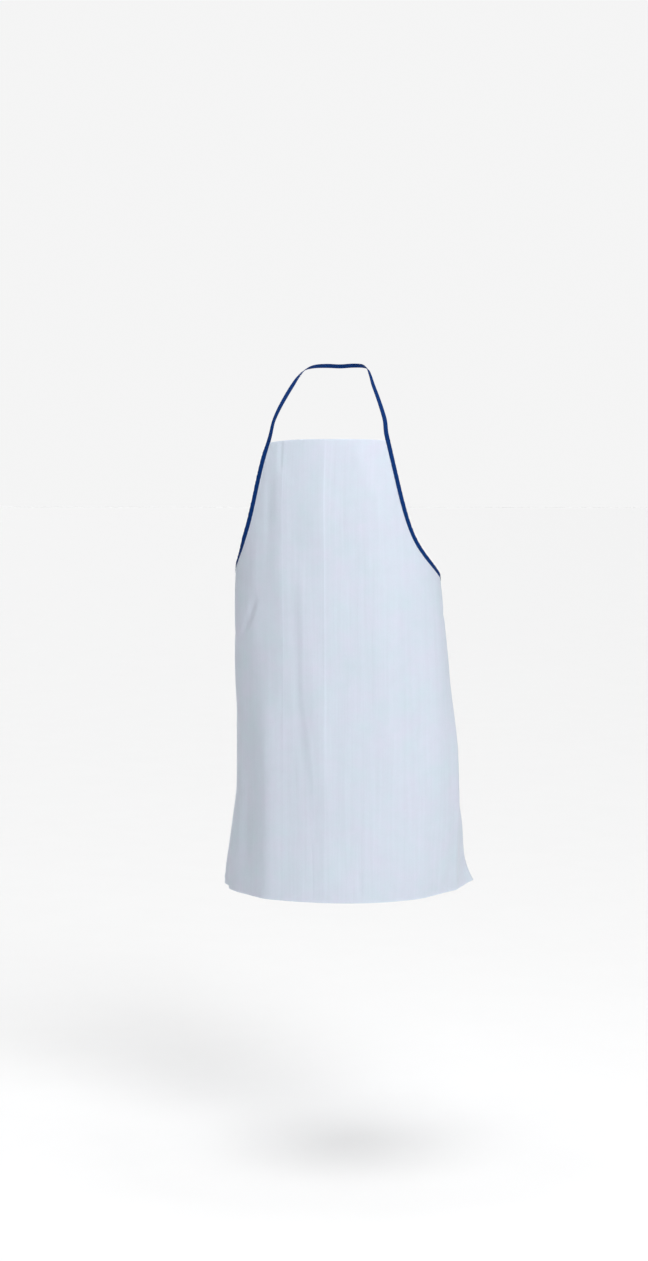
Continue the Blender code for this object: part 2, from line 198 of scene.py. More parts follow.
SIDE_CREASES = (
    # Wearer's right: pulls from the tie's corner towards the front, a packing crease, and folds of the skirt
    Crease(((-0.392, 0.312), (-0.345, 0.375), (-0.290, 0.470)), 0.0100, -0.0040, ROUND, 0.050),
    Crease(((-0.386, 0.330), (-0.360, 0.430), (-0.335, 0.560)), 0.0130, -0.0045, ROUND, 0.060),
    Crease(((-0.330, 0.310), (-0.285, 0.345), (-0.235, 0.400)), 0.0080, -0.0022, ROUND, 0.040),
    Crease(((-0.262, -0.040), (-0.260, 0.500), (-0.262, 0.930)), 0.0026, 0.00045, SHARP, 0.060),
    Crease(((-0.310, 0.480), (-0.322, 0.700), (-0.330, 0.980)), 0.0200, 0.0066, ROUND, 0.140),
    Crease(((-0.372, 0.560), (-0.368, 0.760), (-0.366, 0.980)), 0.0150, -0.0056, ROUND, 0.120),
    Crease(((-0.258, 0.700), (-0.262, 0.800), (-0.268, 0.980)), 0.0190, 0.0044, ROUND, 0.120),
    # The same on the wearer's left, in other places
    Crease(((0.394, 0.314), (0.352, 0.392), (0.312, 0.500)), 0.0110, -0.0042, ROUND, 0.050),
    Crease(((0.388, 0.336), (0.371, 0.450), (0.352, 0.600)), 0.0120, -0.0036, ROUND, 0.070),
    Crease(((0.340, 0.306), (0.300, 0.336), (0.245, 0.372)), 0.0080, -0.0024, ROUND, 0.035),
    Crease(((0.328, 0.270), (0.330, 0.600), (0.328, 0.930)), 0.0026, 0.00045, SHARP, 0.060),
    Crease(((0.300, 0.480), (0.305, 0.700), (0.302, 0.980)), 0.0190, 0.0060, ROUND, 0.130),
    Crease(((0.352, 0.560), (0.362, 0.740), (0.368, 0.980)), 0.0170, -0.0024, ROUND, 0.130),
)


class Ripple(NamedTuple):
    """One slow wave over the whole cloth: its length across and down, height and start."""

    across_length: float
    down_length: float
    height: float
    start: float  # share of a turn


RIPPLES = (
    Ripple(0.061, 0.410, 0.00020, 0.10),
    Ripple(0.087, -0.560, 0.00028, 0.62),
    Ripple(0.043, 0.830, 0.00011, 0.35),
    Ripple(0.140, 0.230, 0.00030, 0.81),
    Ripple(-0.210, 0.170, 0.00030, 0.27),
    Ripple(0.029, 0.120, 0.00005, 0.55),
    Ripple(-0.036, 0.094, 0.00005, 0.05),
)

PUCKERS = (
    Ripple(0.0135, 0.0135, 0.00020, 0.00),
    Ripple(0.0087, 0.0087, 0.00012, 0.40),
    Ripple(0.0230, 0.0230, 0.00016, 0.73),
)


def through_rows(places: Any, values: Any, at: np.ndarray) -> np.ndarray:
    """Reads a smooth curve through a table's rows, a cubic with the table's own slopes in each span.

    Args:
        places: Where the rows stand, rising or falling.
        values: The rows' values.
        at: Places to read.

    Returns:
        The curve's value at each place.
    """
    places, values = np.asarray(places, float), np.asarray(values, float)
    if places[0] > places[-1]:
        places, values = places[::-1], values[::-1]
    slopes = np.gradient(values, places)
    row = np.clip(np.searchsorted(places, at) - 1, 0, len(places) - 2)
    span = places[row + 1] - places[row]
    t = (at - places[row]) / span
    before = values[row] * (1 + 2 * t) * (1 - t) ** 2 + slopes[row] * span * t * (1 - t) ** 2
    after = values[row + 1] * t * t * (3 - 2 * t) + slopes[row + 1] * span * t * t * (t - 1)
    return before + after


def unit(vectors: np.ndarray) -> np.ndarray:
    """The same directions at length one."""
    return vectors / np.linalg.norm(vectors, axis=-1, keepdims=True)


def run_length(points: np.ndarray) -> np.ndarray:
    """Distance along a line of points, from its first."""
    return np.concatenate([[0.0], np.cumsum(np.linalg.norm(np.diff(points, axis=0), axis=1))])


def smooth_step(share: np.ndarray) -> np.ndarray:
    """Rises from 0 to 1 with level ends, as 3 s squared less 2 s cubed."""
    share = np.clip(share, 0, 1)
    return share * share * (3 - 2 * share)


def facing_vector(facing: float, rise: float = 0.0) -> tuple[float, float, float]:
    """The direction `facing` degrees round from the front (-Y) towards +X and `rise` degrees up."""
    turn, tilt = math.radians(facing), math.radians(rise)
    return (math.sin(turn) * math.cos(tilt), -math.cos(turn) * math.cos(tilt), math.sin(tilt))


@dataclass
class WornCloth:
    """The panel's flat cut, and how each of its places lies on the worn form.

    A place is (across, down) in metres: across from the middle crease, positive to the wearer's left, and
    down from the bib's top. It goes to the ring at its height, that far along the ring's outline, and out by
    its folds.
    """

    width: float = 0.80
    length: float = 0.89
    bib_width: float = 0.252
    armhole_depth: float = 0.30
    armhole_slant: float = 0.27
    armhole_power: int = 7
    top_height: float = -0.1480
    bib_sag_right: float = 0.007
    bib_sag_left: float = 0.003
    bib_sag_reach: float = 0.10
    hem_lift_right: float = 0.001
    hem_lift_left: float = 0.010
    drape_fade: float = 0.7
    pucker_reach: float = 0.011
    level_step: float = 0.006
    arc_step: float = 0.004
    arc_reach: float = 0.46
    turn_steps: int = 360
    wrap_sharpness: float = 9
    table_margin: float = 1.001  # steps that a reading stays short of a table's end
    edge_samples: int = 1200
    area_samples: int = 2000
    slope_step: float = 1e-4
    levels: np.ndarray = field(init=False)
    arcs: np.ndarray = field(init=False)
    sections: dict[Side, tuple[np.ndarray, ...]] = field(init=False)

    def __post_init__(self) -> None:
        """Works out the table of ring sections."""
        self.levels = np.arange(RINGS[-1].height, RINGS[0].height + self.level_step / 2, self.level_step)
        self.arcs = np.arange(0, self.arc_reach + self.arc_step / 2, self.arc_step)
        self.sections = {side: self.sections_on(side) for side in Side}

    @staticmethod
    def ring_column(name: str, heights: np.ndarray) -> np.ndarray:
        """One column of RINGS, smooth between its rows."""
        return through_rows([ring.height for ring in RINGS], [getattr(ring, name) for ring in RINGS], heights)

    def sections_on(self, side: Side) -> tuple[np.ndarray, ...]:
        """The cloth's run from the crease to one side at each level.

        It follows the ring's ellipse by arc length, and its heading is held softly to the ring's wrap, past
        which the free edge runs straight on.

        Args:
            side: The side it runs to.

        Returns:
            x, y and heading (radians turned from straight across), each levels by arcs.
        """
        names = ("side_right", "side_left", "side_y", "front_y", "crease_x")
        near_x, far_x, side_y, front_y, crease_x = (self.ring_column(n, self.levels)[:, None] for n in names)
        half_width, depth, middle = (far_x - near_x) / 2, side_y - front_y, (near_x + far_x) / 2
        start = side.value * np.arcsin((crease_x - middle) / half_width)
        turn = start + np.linspace(0, 1, self.turn_steps)[None, :] * (math.pi - start)
        speed = np.hypot(half_width * np.cos(turn), depth * np.sin(turn))
        heading = np.arctan2(depth * np.sin(turn), half_width * np.cos(turn))
        most = np.radians(self.ring_column(f"wrap_{side.word}", self.levels))[:, None]
        past = self.wrap_sharpness * (heading - most)
        heading = heading - np.log1p(np.exp(past)) / self.wrap_sharpness
        length = (speed[:, 1:] + speed[:, :-1]) / 2 * np.diff(turn, axis=1)
        mean = (heading[:, 1:] + heading[:, :-1]) / 2
        start_run = np.zeros((len(self.levels), 1))
        runs = [
            np.concatenate([start_run, np.cumsum(step, axis=1)], axis=1)
            for step in (length, np.cos(mean) * length, np.sin(mean) * length)
        ]
        out, back, headings = (
            np.stack([np.interp(self.arcs, run, row) for run, row in zip(runs[0], table)])
            for table in (runs[1], runs[2], heading)
        )
        return crease_x + side.value * out, side_y - depth * np.cos(start) + back, headings

    def read_section(self, side: Side, height: np.ndarray, arc: np.ndarray) -> list[np.ndarray]:
        """Reads one side's table, in straight steps between its levels and its arcs.

        Args:
            side: The side.
            height: Heights to read.
            arc: Distances from the crease along the ring.

        Returns:
            x, y and heading of each place.
        """
        row = np.clip((height - self.levels[0]) / self.level_step, 0, len(self.levels) - self.table_margin)
        column = np.clip(arc / self.arc_step, 0, len(self.arcs) - self.table_margin)
        i, j = row.astype(int), column.astype(int)
        u, v = row - i, column - j
        return [
            (1 - u) * ((1 - v) * table[i, j] + v * table[i, j + 1])
            + u * ((1 - v) * table[i + 1, j] + v * table[i + 1, j + 1])
            for table in self.sections[side]
        ]

    def height_down(self, down: np.ndarray) -> np.ndarray:
        """Height of the crease line at each distance down the cloth, by its run down the front of the rings.

        Args:
            down: Distances down from the bib's top.

        Returns:
            The heights.
        """
        front = self.ring_column("front_y", self.levels)
        length = run_length(np.stack([self.levels, front], axis=1))
        top = np.interp(self.top_height, self.levels, length)
        return np.interp(top - down, length, self.levels)

    def armhole_across(self, down: np.ndarray) -> np.ndarray:
        """Half of the width at each distance down: straight out by the slant, then out as a high power.

        Args:
            down: Distances down from the bib's top.

        Returns:
            The half widths.
        """
        reach = (self.width - self.bib_width) / 2 - self.armhole_slant * self.armhole_depth
        share = down / self.armhole_depth
        return self.bib_width / 2 + self.armhole_slant * down + reach * share**self.armhole_power

    def armhole_edge(self, steps: int) -> tuple[np.ndarray, np.ndarray]:
        """Flat places along one armhole from the bib's corner to the side, in even steps.

        Args:
            steps: How many steps.

        Returns:
            across and down of each place.
        """
        down = np.linspace(0, self.armhole_depth, self.edge_samples)
        across = self.armhole_across(down)
        length = run_length(np.stack([across, down], axis=1))
        even = np.linspace(0, length[-1], steps + 1)
        return np.interp(even, length, across), np.interp(even, length, down)

    def from_armhole(self, across: np.ndarray, down: np.ndarray) -> np.ndarray:
        """About how far a place lies from the armhole's edge: its gap across, by the edge's lean.

        Args:
            across: Flat places across.
            down: Flat places down.

        Returns:
            The distances.
        """
        step = self.slope_step
        gap = self.armhole_across(down) - np.abs(across)
        slope = (self.armhole_across(down + step) - self.armhole_across(down - step)) / (2 * step)
        return np.maximum(gap, 0) / np.hypot(1, slope)

    def drape_height(self, across: np.ndarray, down: np.ndarray) -> np.ndarray:
        """How far the broad folds of the solid lift the cloth off its ring.

        Across a fold it is a bell curve, and along it a power of half a sine wave.

        Args:
            across: Flat places across.
            down: Flat places down.

        Returns:
            The lift at each place.
        """
        lift = np.zeros(across.shape)
        for fold in DRAPES:
            share = np.clip((down - fold.down_top) / (fold.down_end - fold.down_top), 0, 1)
            middle = fold.across_top + share * (fold.across_end - fold.across_top)
            fade = np.sin(np.pi * share) ** self.drape_fade
            lift += fold.height * fade * np.exp(-(((across - middle) / fold.half_width) ** 2))
        return lift

    @staticmethod
    def crease_share(crease: Crease, across: np.ndarray, down: np.ndarray) -> np.ndarray:
        """How much of one crease's height each place has, from 0 to 1.

        Across it is a bell curve where the crease is round and a peak, e to the minus distance, where it is
        sharp. Along it, both ends fade over the length that the crease gives.

        Args:
            crease: The crease.
            across: Flat places across.
            down: Flat places down.

        Returns:
            The share at each place.
        """
        route = np.array(crease.route)
        inside = np.clip(down, route[0, 1], route[-1, 1])
        middle = through_rows(route[:, 1], route[:, 0], inside)
        lean = np.gradient(route[:, 0], route[:, 1])
        away = np.abs(across - middle) / np.hypot(1, np.interp(inside, route[:, 1], lean)) / crease.half_width
        shape = np.exp(-(away**2)) if crease.shape is FoldShape.ROUND else np.exp(-away)
        top = smooth_step((down - route[0, 1]) / crease.fade)
        return shape * top * smooth_step((route[-1, 1] - down) / crease.fade)

    def crease_height(self, across: np.ndarray, down: np.ndarray) -> np.ndarray:
        """Lift of all creases, of the ripples and of the puckers beside the sewn armholes.

        Ripples and puckers are sine waves. The puckers die out as e to the minus distance from the armhole.

        Args:
            across: Flat places across.
            down: Flat places down.

        Returns:
            The lift at each place.
        """
        lift = np.zeros(across.shape)
        for crease in FRONT_CREASES + SIDE_CREASES:
            lift += crease.height * self.crease_share(crease, across, down)
        for wave in RIPPLES:
            turn = across / wave.across_length + down / wave.down_length + wave.start
            lift += wave.height * np.sin(WHOLE_TURN * turn)
        beside = np.exp(-self.from_armhole(across, down) / self.pucker_reach)
        for wave in PUCKERS:
            turn = (np.abs(across) + down) / wave.down_length + wave.start
            lift += wave.height * beside * np.sin(WHOLE_TURN * turn)
        return lift

    def points(self, across: Any, down: Any, off: Any = 0.0) -> np.ndarray:
        """World points of flat places on the worn cloth.

        The bib's corners sag by the cube of their place across, fading as a square down. The hem lifts by the
        square of its place across and the fourth power of its place down.

        Args:
            across: Distances across, positive to the wearer's left.
            down: Distances down from the bib's top.
            off: How far the points are moved out from the cloth's middle surface.

        Returns:
            The points, with X, Y and Z last.
        """
        across, down, off = (np.array(a, float) for a in np.broadcast_arrays(across, down, off))
        bib_share = np.clip(np.abs(across) / (self.bib_width / 2), 0, 1) ** 3
        hem_share = (np.abs(across) / (self.width / 2)) ** 2
        bib_fade = np.clip(1 - down / self.bib_sag_reach, 0, 1) ** 2
        hem_fade = np.clip(down / self.length, 0, 1) ** 4
        out = off + self.drape_height(across, down) + self.crease_height(across, down)
        points = np.empty(across.shape + (3,))
        for side, sag, lift in (
            (Side.RIGHT, self.bib_sag_right, self.hem_lift_right),
            (Side.LEFT, self.bib_sag_left, self.hem_lift_left),
        ):
            here = across < 0 if side is Side.RIGHT else across >= 0
            height = self.height_down(down[here])
            height += lift * hem_fade[here] * hem_share[here] - sag * bib_fade[here] * bib_share[here]
            x, y, heading = self.read_section(side, height, np.abs(across[here]))
            points[here, 0] = x + side.value * out[here] * np.sin(heading)
            points[here, 1] = y - out[here] * np.cos(heading)
            points[here, 2] = height
        return points

    def cut_area(self) -> float:
        """Flat area of the cut: its width added up down the armholes, and the rectangle below them.

        Returns:
            The area in square metres.
        """
        down = (np.arange(self.area_samples) + 0.5) / self.area_samples * self.armhole_depth
        top = 2 * float(np.mean(self.armhole_across(down))) * self.armhole_depth
        return top + self.width * (self.length - self.armhole_depth)


class Graph:
    """A node tree, with short ways to add nodes and link them."""

    def __init__(self, tree: bpy.types.NodeTree) -> None:
        """Takes the tree to write in."""
        self.tree = tree

    def add(self, kind: str, inputs: dict[Any, Any] | None = None, **settings: Any) -> bpy.types.Node:
        """Adds a node.

        Args:
            kind: The node's type name.
            inputs: Its sockets' values, or the sockets that feed them.
            settings: The node's own properties.

        Returns:
            The node.
        """
        node = self.tree.nodes.new(kind)
        for name, value in settings.items():
            setattr(node, name, value)
        for name, value in (inputs or {}).items():
            if isinstance(value, bpy.types.NodeSocket):
                self.link(value, node.inputs[name])
            else:
                node.inputs[name].default_value = value
        return node

    def link(self, source: bpy.types.NodeSocket, target: bpy.types.NodeSocket) -> None:
        """Feeds one socket from another."""
        self.tree.links.new(source, target)

    def math(self, operation: str, first: Any, second: Any = 0.0, third: Any = 0.0) -> bpy.types.NodeSocket:
        """The result of one sum."""
        return self.add("ShaderNodeMath", {0: first, 1: second, 2: third}, operation=operation).outputs[0]

    def wave(self, place: Any, pitch: Any, kind: str = "SINE") -> bpy.types.NodeSocket:
        """A wave from -1 to 1 along a place, one for each pitch."""
        turn = self.math("DIVIDE", place, pitch)
        return self.math(kind, self.math("MULTIPLY", turn, WHOLE_TURN))

    def noise(self, vector: Any, scale: Any, detail: float) -> bpy.types.NodeSocket:
        """Soft noise from 0 to 1."""
        inputs = {"Vector": vector, "Scale": scale, "Detail": detail, "Roughness": NOISE_ROUGHNESS}
        return self.add("ShaderNodeTexNoise", inputs).outputs[0]

    def ramp(
        self, value: Any, low: float, high: float, to_low: float, to_high: float
    ) -> bpy.types.NodeSocket:
        """The value carried from one range to another, clamped."""
        inputs = {0: value, 1: low, 2: high, 3: to_low, 4: to_high}
        return self.add("ShaderNodeMapRange", inputs).outputs[0]

    def scaled(self, vector: Any, by: Any) -> bpy.types.NodeSocket:
        """A colour or place multiplied by a value."""
        return self.add("ShaderNodeVectorMath", {0: vector, 3: by}, operation="SCALE").outputs[0]

    def bump(self, height: Any, strength: float, distance: float) -> bpy.types.Node:
        """A Bump node."""
        return self.add("ShaderNodeBump", {"Height": height, "Strength": strength, "Distance": distance})


def new_group(
    name: str, inputs: dict[str, tuple[str, Any]], outputs: tuple[str, ...]
) -> tuple[Graph, Any, Any]:
    """Starts a shader node group.

    Args:
        name: The group's name.
        inputs: Each input's name with its socket type and value.
        outputs: Names of the value outputs.

    Returns:
        The group's graph, its input node and its output node.
    """
    tree = bpy.data.node_groups.new(name, "ShaderNodeTree")
    for title, (kind, value) in inputs.items():
        socket = tree.interface.new_socket(name=title, in_out="INPUT", socket_type=kind)
        if value is not None:
            socket.default_value = value
    for title in outputs:
        tree.interface.new_socket(name=title, in_out="OUTPUT", socket_type="NodeSocketFloat")
    graph = Graph(tree)
    return graph, graph.add("NodeGroupInput"), graph.add("NodeGroupOutput")


class SharedEffects:
    """Node groups, each built once: the fibres of cloth and tape, and the cloth's pressed points."""

    def __init__(self) -> None:
        """Builds the groups."""
        self.fibres = self.fibre_group()
        self.bonds = self.bond_group()

    @staticmethod
    def fibre_group() -> bpy.types.NodeTree:
        """Clouds and fine fibres: slow noise, plus the higher of two fine noises drawn out in crossing ways.

        Returns:
            The group, which puts out a shade near 1 and the fibres' height.
        """
        graph, given, result = new_group(
            "fibre_mottle",
            {
                "Vector": ("NodeSocketVector", None),
                "Cloud Scale": ("NodeSocketFloat", 60.0),
                "Fibre Scale": ("NodeSocketFloat", 1500.0),
                "Cloud": ("NodeSocketFloat", 0.03),
                "Fibre": ("NodeSocketFloat", 0.03),
            },
            ("Shade", "Height"),
        )
        place = given.outputs["Vector"]
        stretch = (1, 0.22, 1)
        mean_cloud, mean_fibre = 0.5, 0.56
        ways = []
        for turned in (0.5, -0.9):
            settings = {"Vector": place, "Rotation": (0, 0, turned), "Scale": stretch}
            drawn = graph.add("ShaderNodeMapping", settings).outputs[0]
            ways.append(graph.noise(drawn, given.outputs["Fibre Scale"], FINE_DETAIL))
        fibre = graph.math("MAXIMUM", ways[0], ways[1])
        cloud = graph.noise(place, given.outputs["Cloud Scale"], CLOUD_DETAIL)
        cloud_part = graph.math("MULTIPLY", graph.math("SUBTRACT", cloud, mean_cloud), given.outputs["Cloud"])
        fibre_part = graph.math("MULTIPLY", graph.math("SUBTRACT", fibre, mean_fibre), given.outputs["Fibre"])
        shade = graph.math("ADD", graph.math("ADD", cloud_part, fibre_part), 1.0)
        graph.link(shade, result.inputs["Shade"])
        graph.link(fibre, result.inputs["Height"])
        return graph.tree

    @staticmethod
    def bond_group() -> bpy.types.NodeTree:
        """A diamond lattice of small pressed points: where the product of two waves is near one.

        Returns:
            The group, which puts out the points' mask.
        """
        graph, given, result = new_group(
            "bond_points",
            {"Vector": ("NodeSocketVector", None), "Pitch": ("NodeSocketFloat", 0.0016)},
            ("Mask",),
        )
        parts = graph.add("ShaderNodeSeparateXYZ", {0: given.outputs["Vector"]})
        waves = [graph.wave(parts.outputs[axis], given.outputs["Pitch"], "COSINE") for axis in (0, 1)]
        outer, inner = 0.45, 0.85
        mask = graph.ramp(graph.math("MULTIPLY", waves[0], waves[1]), outer, inner, 0.0, 1.0)
        graph.link(mask, result.inputs["Mask"])
        return graph.tree

    def place_fibres(
        self, graph: Graph, place: Any, scales: tuple[float, float], shares: tuple[float, float]
    ) -> bpy.types.Node:
        """Places the fibres in a material.

        Args:
            graph: The material's graph.
            place: The surface's own places.
            scales: Clouds and fibres to the metre, about.
            shares: How much the clouds and the fibres shade.

        Returns:
            The group's node.
        """
        inputs = dict(zip(("Cloud Scale", "Fibre Scale", "Cloud", "Fibre"), scales + shares))
        node = graph.add("ShaderNodeGroup", node_tree=self.fibres)
        graph.link(place, node.inputs["Vector"])
        for title, value in inputs.items():
            node.inputs[title].default_value = value
        return node


def start_material(name: str, roughness: float, **constants: Any) -> tuple[bpy.types.Material, Graph, Any]:
    """A material with a Principled shader.

    Args:
        name: The material's name.
        roughness: Its plain roughness.
        constants: Other shader sockets that are the same all over, by name with _ for each space.

    Returns:
        The material, its graph and its shader.
    """
    material = bpy.data.materials.new(name)
    material.use_nodes = True
    graph = Graph(material.node_tree)
    shader = material.node_tree.nodes["Principled BSDF"]
    shader.inputs["Roughness"].default_value = roughness
    for title, value in constants.items():
        shader.inputs[title.replace("_", " ")].default_value = value
    return material, graph, shader


@dataclass(frozen=True)
class NonwovenFinish:
    """White coated nonwoven: crossing fibres and pressed points. It is paler along raised sharp creases and
    cut edges, partly the film's own whitening and fuzz there and partly a painted highlight.
    """

    colour: tuple[float, float, float] = (0.705, 0.770, 0.875)
    roughness: float = 0.62
    tint: tuple[float, float, float] = (0.020, -0.010, 0.006)
    patch_scale: float = 15.0
    patch_range: tuple[float, float] = (0.3, 0.7)
    fibre_scales: tuple[float, float] = (38.0, 1100.0)
    fibre_shares: tuple[float, float] = (0.05, 0.10)
    bond_pitch: float = 0.0019
    bond_shade: float = -0.035
    bond_height: float = -0.8
    bond_gloss: float = -0.10
    relief: float = 0.00007
    relief_strength: float = 0.5
    # How much paler raised sharp creases and cut edges are: partly their own whitening, partly a painted
    # highlight
    crease_gain: float = 0.055
    streak_scale: float = 120.0  # streaks to the metre across, about
    streak_stretch: float = 0.03  # their width against their length
    # The streaks' paler and darker colour: partly the sheet's own tone, partly painted shade of its fine
    # folds
    streak_shade: float = 0.075
    streak_relief: float = 0.00030

    def material(self, effects: SharedEffects) -> bpy.types.Material:
        """Builds the material on the cloth's flat UV map, in metres.

        Args:
            effects: The shared node groups.

        Returns:
            The material.
        """
        material, graph, shader = start_material(
            "apron_cloth", self.roughness, Sheen_Weight=0.12, Sheen_Roughness=0.45, Specular_IOR_Level=0.35
        )
        place = graph.add("ShaderNodeUVMap", uv_map="flat").outputs[0]
        fibres = effects.place_fibres(graph, place, self.fibre_scales, self.fibre_shares)
        bonds = graph.add("ShaderNodeGroup", node_tree=effects.bonds)
        graph.link(place, bonds.inputs["Vector"])
        bonds.inputs["Pitch"].default_value = self.bond_pitch
        # Paler along raised sharp creases and cut edges: partly the film's own whitening and fuzz, partly a
        # painted highlight
        whitening_and_highlight = graph.add("ShaderNodeAttribute", attribute_name="whitening_and_highlight").outputs["Fac"]
        mask = bonds.outputs["Mask"]
        shade = graph.math("MULTIPLY_ADD", mask, self.bond_shade, fibres.outputs["Shade"])
        shade = graph.math("MULTIPLY_ADD", whitening_and_highlight, self.crease_gain, shade)
        # Long shallow streaks down the sheet, the same in the bump and in the colour: paler where the bump is
        # high and darker where it is low, partly the sheet's own streaky tone from its making and partly
        # painted shade of its fine folds
        stretch = (1, self.streak_stretch, 1)
        drawn = graph.add("ShaderNodeMapping", {"Vector": place, "Scale": stretch}).outputs[0]
        streak = graph.noise(drawn, self.streak_scale, FINE_DETAIL)
        shade = graph.math("MULTIPLY_ADD", graph.math("SUBTRACT", streak, 0.5), self.streak_shade, shade)
        # Faint lilac and blue patches
        cloud = graph.noise(place, self.patch_scale, CLOUD_DETAIL)
        patch = graph.ramp(cloud, *self.patch_range, -1.0, 1.0)
        sum_of = {0: graph.scaled(self.colour, shade), 1: graph.scaled(self.tint, patch)}
        colour = graph.add("ShaderNodeVectorMath", sum_of, operation="ADD").outputs[0]
        graph.link(colour, shader.inputs["Base Color"])
        waves = graph.bump(streak, 1.0, self.streak_relief)
        height = graph.math("MULTIPLY_ADD", mask, self.bond_height, fibres.outputs["Height"])
        bump = graph.bump(height, self.relief_strength, self.relief)
        graph.link(waves.outputs[0], bump.inputs["Normal"])
        graph.link(bump.outputs[0], shader.inputs["Normal"])
        rough = graph.math("MULTIPLY_ADD", mask, self.bond_gloss, self.roughness)
        graph.link(rough, shader.inputs["Roughness"])
        return material


@dataclass(frozen=True)
class TapeFinish:
    """Navy woven tape: ribs across it, finer ones along it, and fibres, a little paler on the ribs."""

    name: str = "binding_tape"
    colour: tuple[float, float, float] = (0.0030, 0.034, 0.165)
    roughness: float = 0.68
    rib_pitch: float = 0.00075
    cross_pitch: float = 0.00075 * 0.55
    cross_share: float = 0.35
    weave_shade: float = 0.12
    fibre_scales: tuple[float, float] = (90.0, 2600.0)
    fibre_shares: tuple[float, float] = (0.25, 0.45)
    fibre_height: float = 0.5
    relief: float = 0.00009
    relief_strength: float = 0.35

    def material(self, effects: SharedEffects) -> bpy.types.Material:
        """Builds the material on the tape's UV map: across and along, in metres.

        Args:
            effects: The shared node groups.

        Returns:
            The material.
        """
        material, graph, shader = start_material(
            self.name, self.roughness, Sheen_Weight=0.02, Sheen_Roughness=0.5, Specular_IOR_Level=0.06
        )
        place = graph.add("ShaderNodeUVMap", uv_map="tape").outputs[0]
        across, along = graph.add("ShaderNodeSeparateXYZ", {0: place}).outputs[:2]
        ribs = graph.wave(along, self.rib_pitch)
        weave = graph.math("MULTIPLY_ADD", graph.wave(across, self.cross_pitch), self.cross_share, ribs)
        fibres = effects.place_fibres(graph, place, self.fibre_scales, self.fibre_shares)
        shade = graph.math("MULTIPLY_ADD", weave, self.weave_shade, fibres.outputs["Shade"])
        graph.link(graph.scaled(self.colour, shade), shader.inputs["Base Color"])
        height = graph.math("MULTIPLY_ADD", fibres.outputs["Height"], self.fibre_height, weave)
        bump = graph.bump(height, self.relief_strength, self.relief)
        graph.link(bump.outputs[0], shader.inputs["Normal"])
        return material


@dataclass(frozen=True)
class ThreadFinish:
    """Navy sewing thread, a little greyer and glossier than the tape, with its twist."""

    colour: tuple[float, float, float] = (0.012, 0.045, 0.150)
    roughness: float = 0.5
    twist_pitch: float = 0.0006
    twist_shade: float = 0.18
    relief: float = 0.00005
    relief_strength: float = 0.5

    def material(self) -> bpy.types.Material:
        """Builds the material with slanting bands for the twist.

        Returns:
            The material.
        """
        material, graph, shader = start_material(
            "sewing_thread", self.roughness, Sheen_Weight=0.06, Specular_IOR_Level=0.35
        )
        place = graph.add("ShaderNodeUVMap", uv_map="tape").outputs[0]
        across, along = graph.add("ShaderNodeSeparateXYZ", {0: place}).outputs[:2]
        bands = graph.wave(graph.math("ADD", across, along), self.twist_pitch)
        shade = graph.math("MULTIPLY_ADD", bands, self.twist_shade, 1.0)
        graph.link(graph.scaled(self.colour, shade), shader.inputs["Base Color"])
        bump = graph.bump(bands, self.relief_strength, self.relief)
        graph.link(bump.outputs[0], shader.inputs["Normal"])
        return material


@dataclass(frozen=True)
class FloorFinish:
    """Plain pale floor."""

    colour: tuple[float, float, float] = (0.93, 0.93, 0.93)
    roughness: float = 0.9
    mottle_scale: float = 6.0
    mottle: tuple[float, float] = (0.99, 1.01)

    def material(self) -> bpy.types.Material:
        """Builds the material with a very faint mottle.

        Returns:
            The material.
        """
        material, graph, shader = start_material("pale_floor", self.roughness, Specular_IOR_Level=0.1)
        place = graph.add("ShaderNodeTexCoord").outputs["Object"]
        shade = graph.ramp(graph.noise(place, self.mottle_scale, CLOUD_DETAIL), 0.0, 1.0, *self.mottle)
        graph.link(graph.scaled(self.colour, shade), shader.inputs["Base Color"])
        return material


